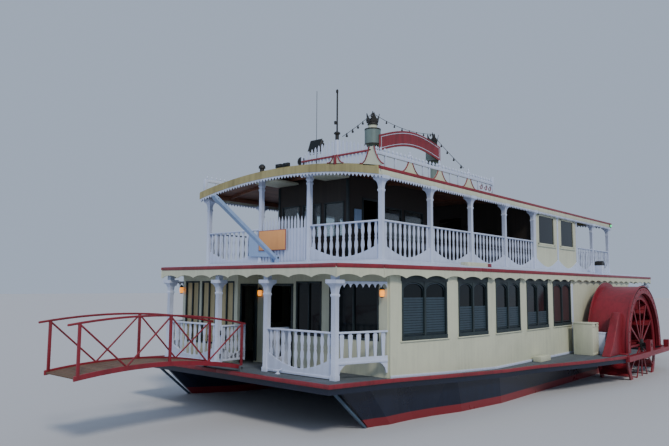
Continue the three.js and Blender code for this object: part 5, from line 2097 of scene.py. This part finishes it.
@dataclass(frozen=True)
class Sun:
    """A distant light: its turn and spread in degrees, its strength and its sRGB colour."""

    name: str
    turn: tuple[float, float, float]
    strength: float
    colour: str
    spread: float

    def shine(self) -> None:
        """Adds the light."""
        bpy.ops.object.light_add(type="SUN", rotation=[math.radians(a) for a in self.turn])
        light = bpy.context.active_object
        light.name = self.name
        light.data.energy = self.strength
        light.data.color = linear(self.colour)[:3]
        light.data.angle = math.radians(self.spread)


@dataclass(frozen=True)
class Studio:
    """Floor at the waterline, pale sky and two soft suns."""

    floor_size: float = 400.0
    floor_colour: str = "b9bcc2"
    sky_colour: str = "b7c6dc"
    sky_strength: float = 0.85
    suns: tuple[Sun, ...] = (Sun("key", (48, 0, 150), 2.1, "fdf4e6", 12),
                             Sun("fill", (62, 0, 60), 0.4, "dfe8ff", 40))

    def build(self) -> None:
        """Makes the floor, the sky and the suns."""
        bpy.ops.mesh.primitive_plane_add(size=self.floor_size, location=(0, 0, WATERLINE))
        floor = bpy.context.active_object
        floor.name = "floor"
        pale = bpy.data.materials.new("pale_floor")
        pale.use_nodes = True
        shader = pale.node_tree.nodes["Principled BSDF"]
        shader.inputs["Base Color"].default_value = linear(self.floor_colour)
        shader.inputs["Roughness"].default_value = 0.9
        floor.data.materials.append(pale)
        world = bpy.data.worlds.new("studio")
        bpy.context.scene.world = world
        world.use_nodes = True
        sky = world.node_tree.nodes["Background"]
        sky.inputs["Color"].default_value = linear(self.sky_colour)
        sky.inputs["Strength"].default_value = self.sky_strength
        for sun in self.suns:
            sun.shine()


@dataclass(frozen=True)
class Camera:
    """Camera at the photograph's place, solved from the deck and roof edges; angles in degrees."""

    place: tuple[float, float, float] = (18.881, 12.180, 4.140)
    yaw: float = 221.013
    pitch: float = 5.837
    roll: float = 0.364
    sensor: float = 36
    lens: float = 33.19

    def build(self) -> None:
        """Adds the camera and looks through it."""
        yaw, pitch, roll = (math.radians(a) for a in (self.yaw, self.pitch, self.roll))
        ahead = Vector((math.cos(yaw) * math.cos(pitch), math.sin(yaw) * math.cos(pitch), math.sin(pitch)))
        right = Vector((math.sin(yaw), -math.cos(yaw), 0))
        up = right.cross(ahead)
        across = right * math.cos(roll) + up * math.sin(roll)
        above = up * math.cos(roll) - right * math.sin(roll)
        bpy.ops.object.camera_add()
        eye = bpy.context.active_object
        eye.name = "camera"
        eye.data.sensor_width = self.sensor
        eye.data.lens = self.lens
        turn = Matrix((across, above, -ahead)).transposed().to_4x4()
        eye.matrix_world = Matrix.Translation(self.place) @ turn
        bpy.context.scene.camera = eye


def main() -> None:
    """Builds every assembly in order."""
    logging.basicConfig(level=logging.INFO, format="%(message)s")
    Camera().build()
    Studio().build()
    for assembly in (HullAndDeck(), UpperDeck(), LowerCabin(), BowVeranda(), UpperVeranda(), Wheelhouse(),
                     UpperLounge(), Roof(), PaddleBox(), Funnels(), RoofRail(), RoofFittings(), Festoon(),
                     Gangway(), Boom(), DeckFittings()):
        LOG.info("%s", type(assembly).__name__)
        assembly.build()


if __name__ == "__main__":
    main()
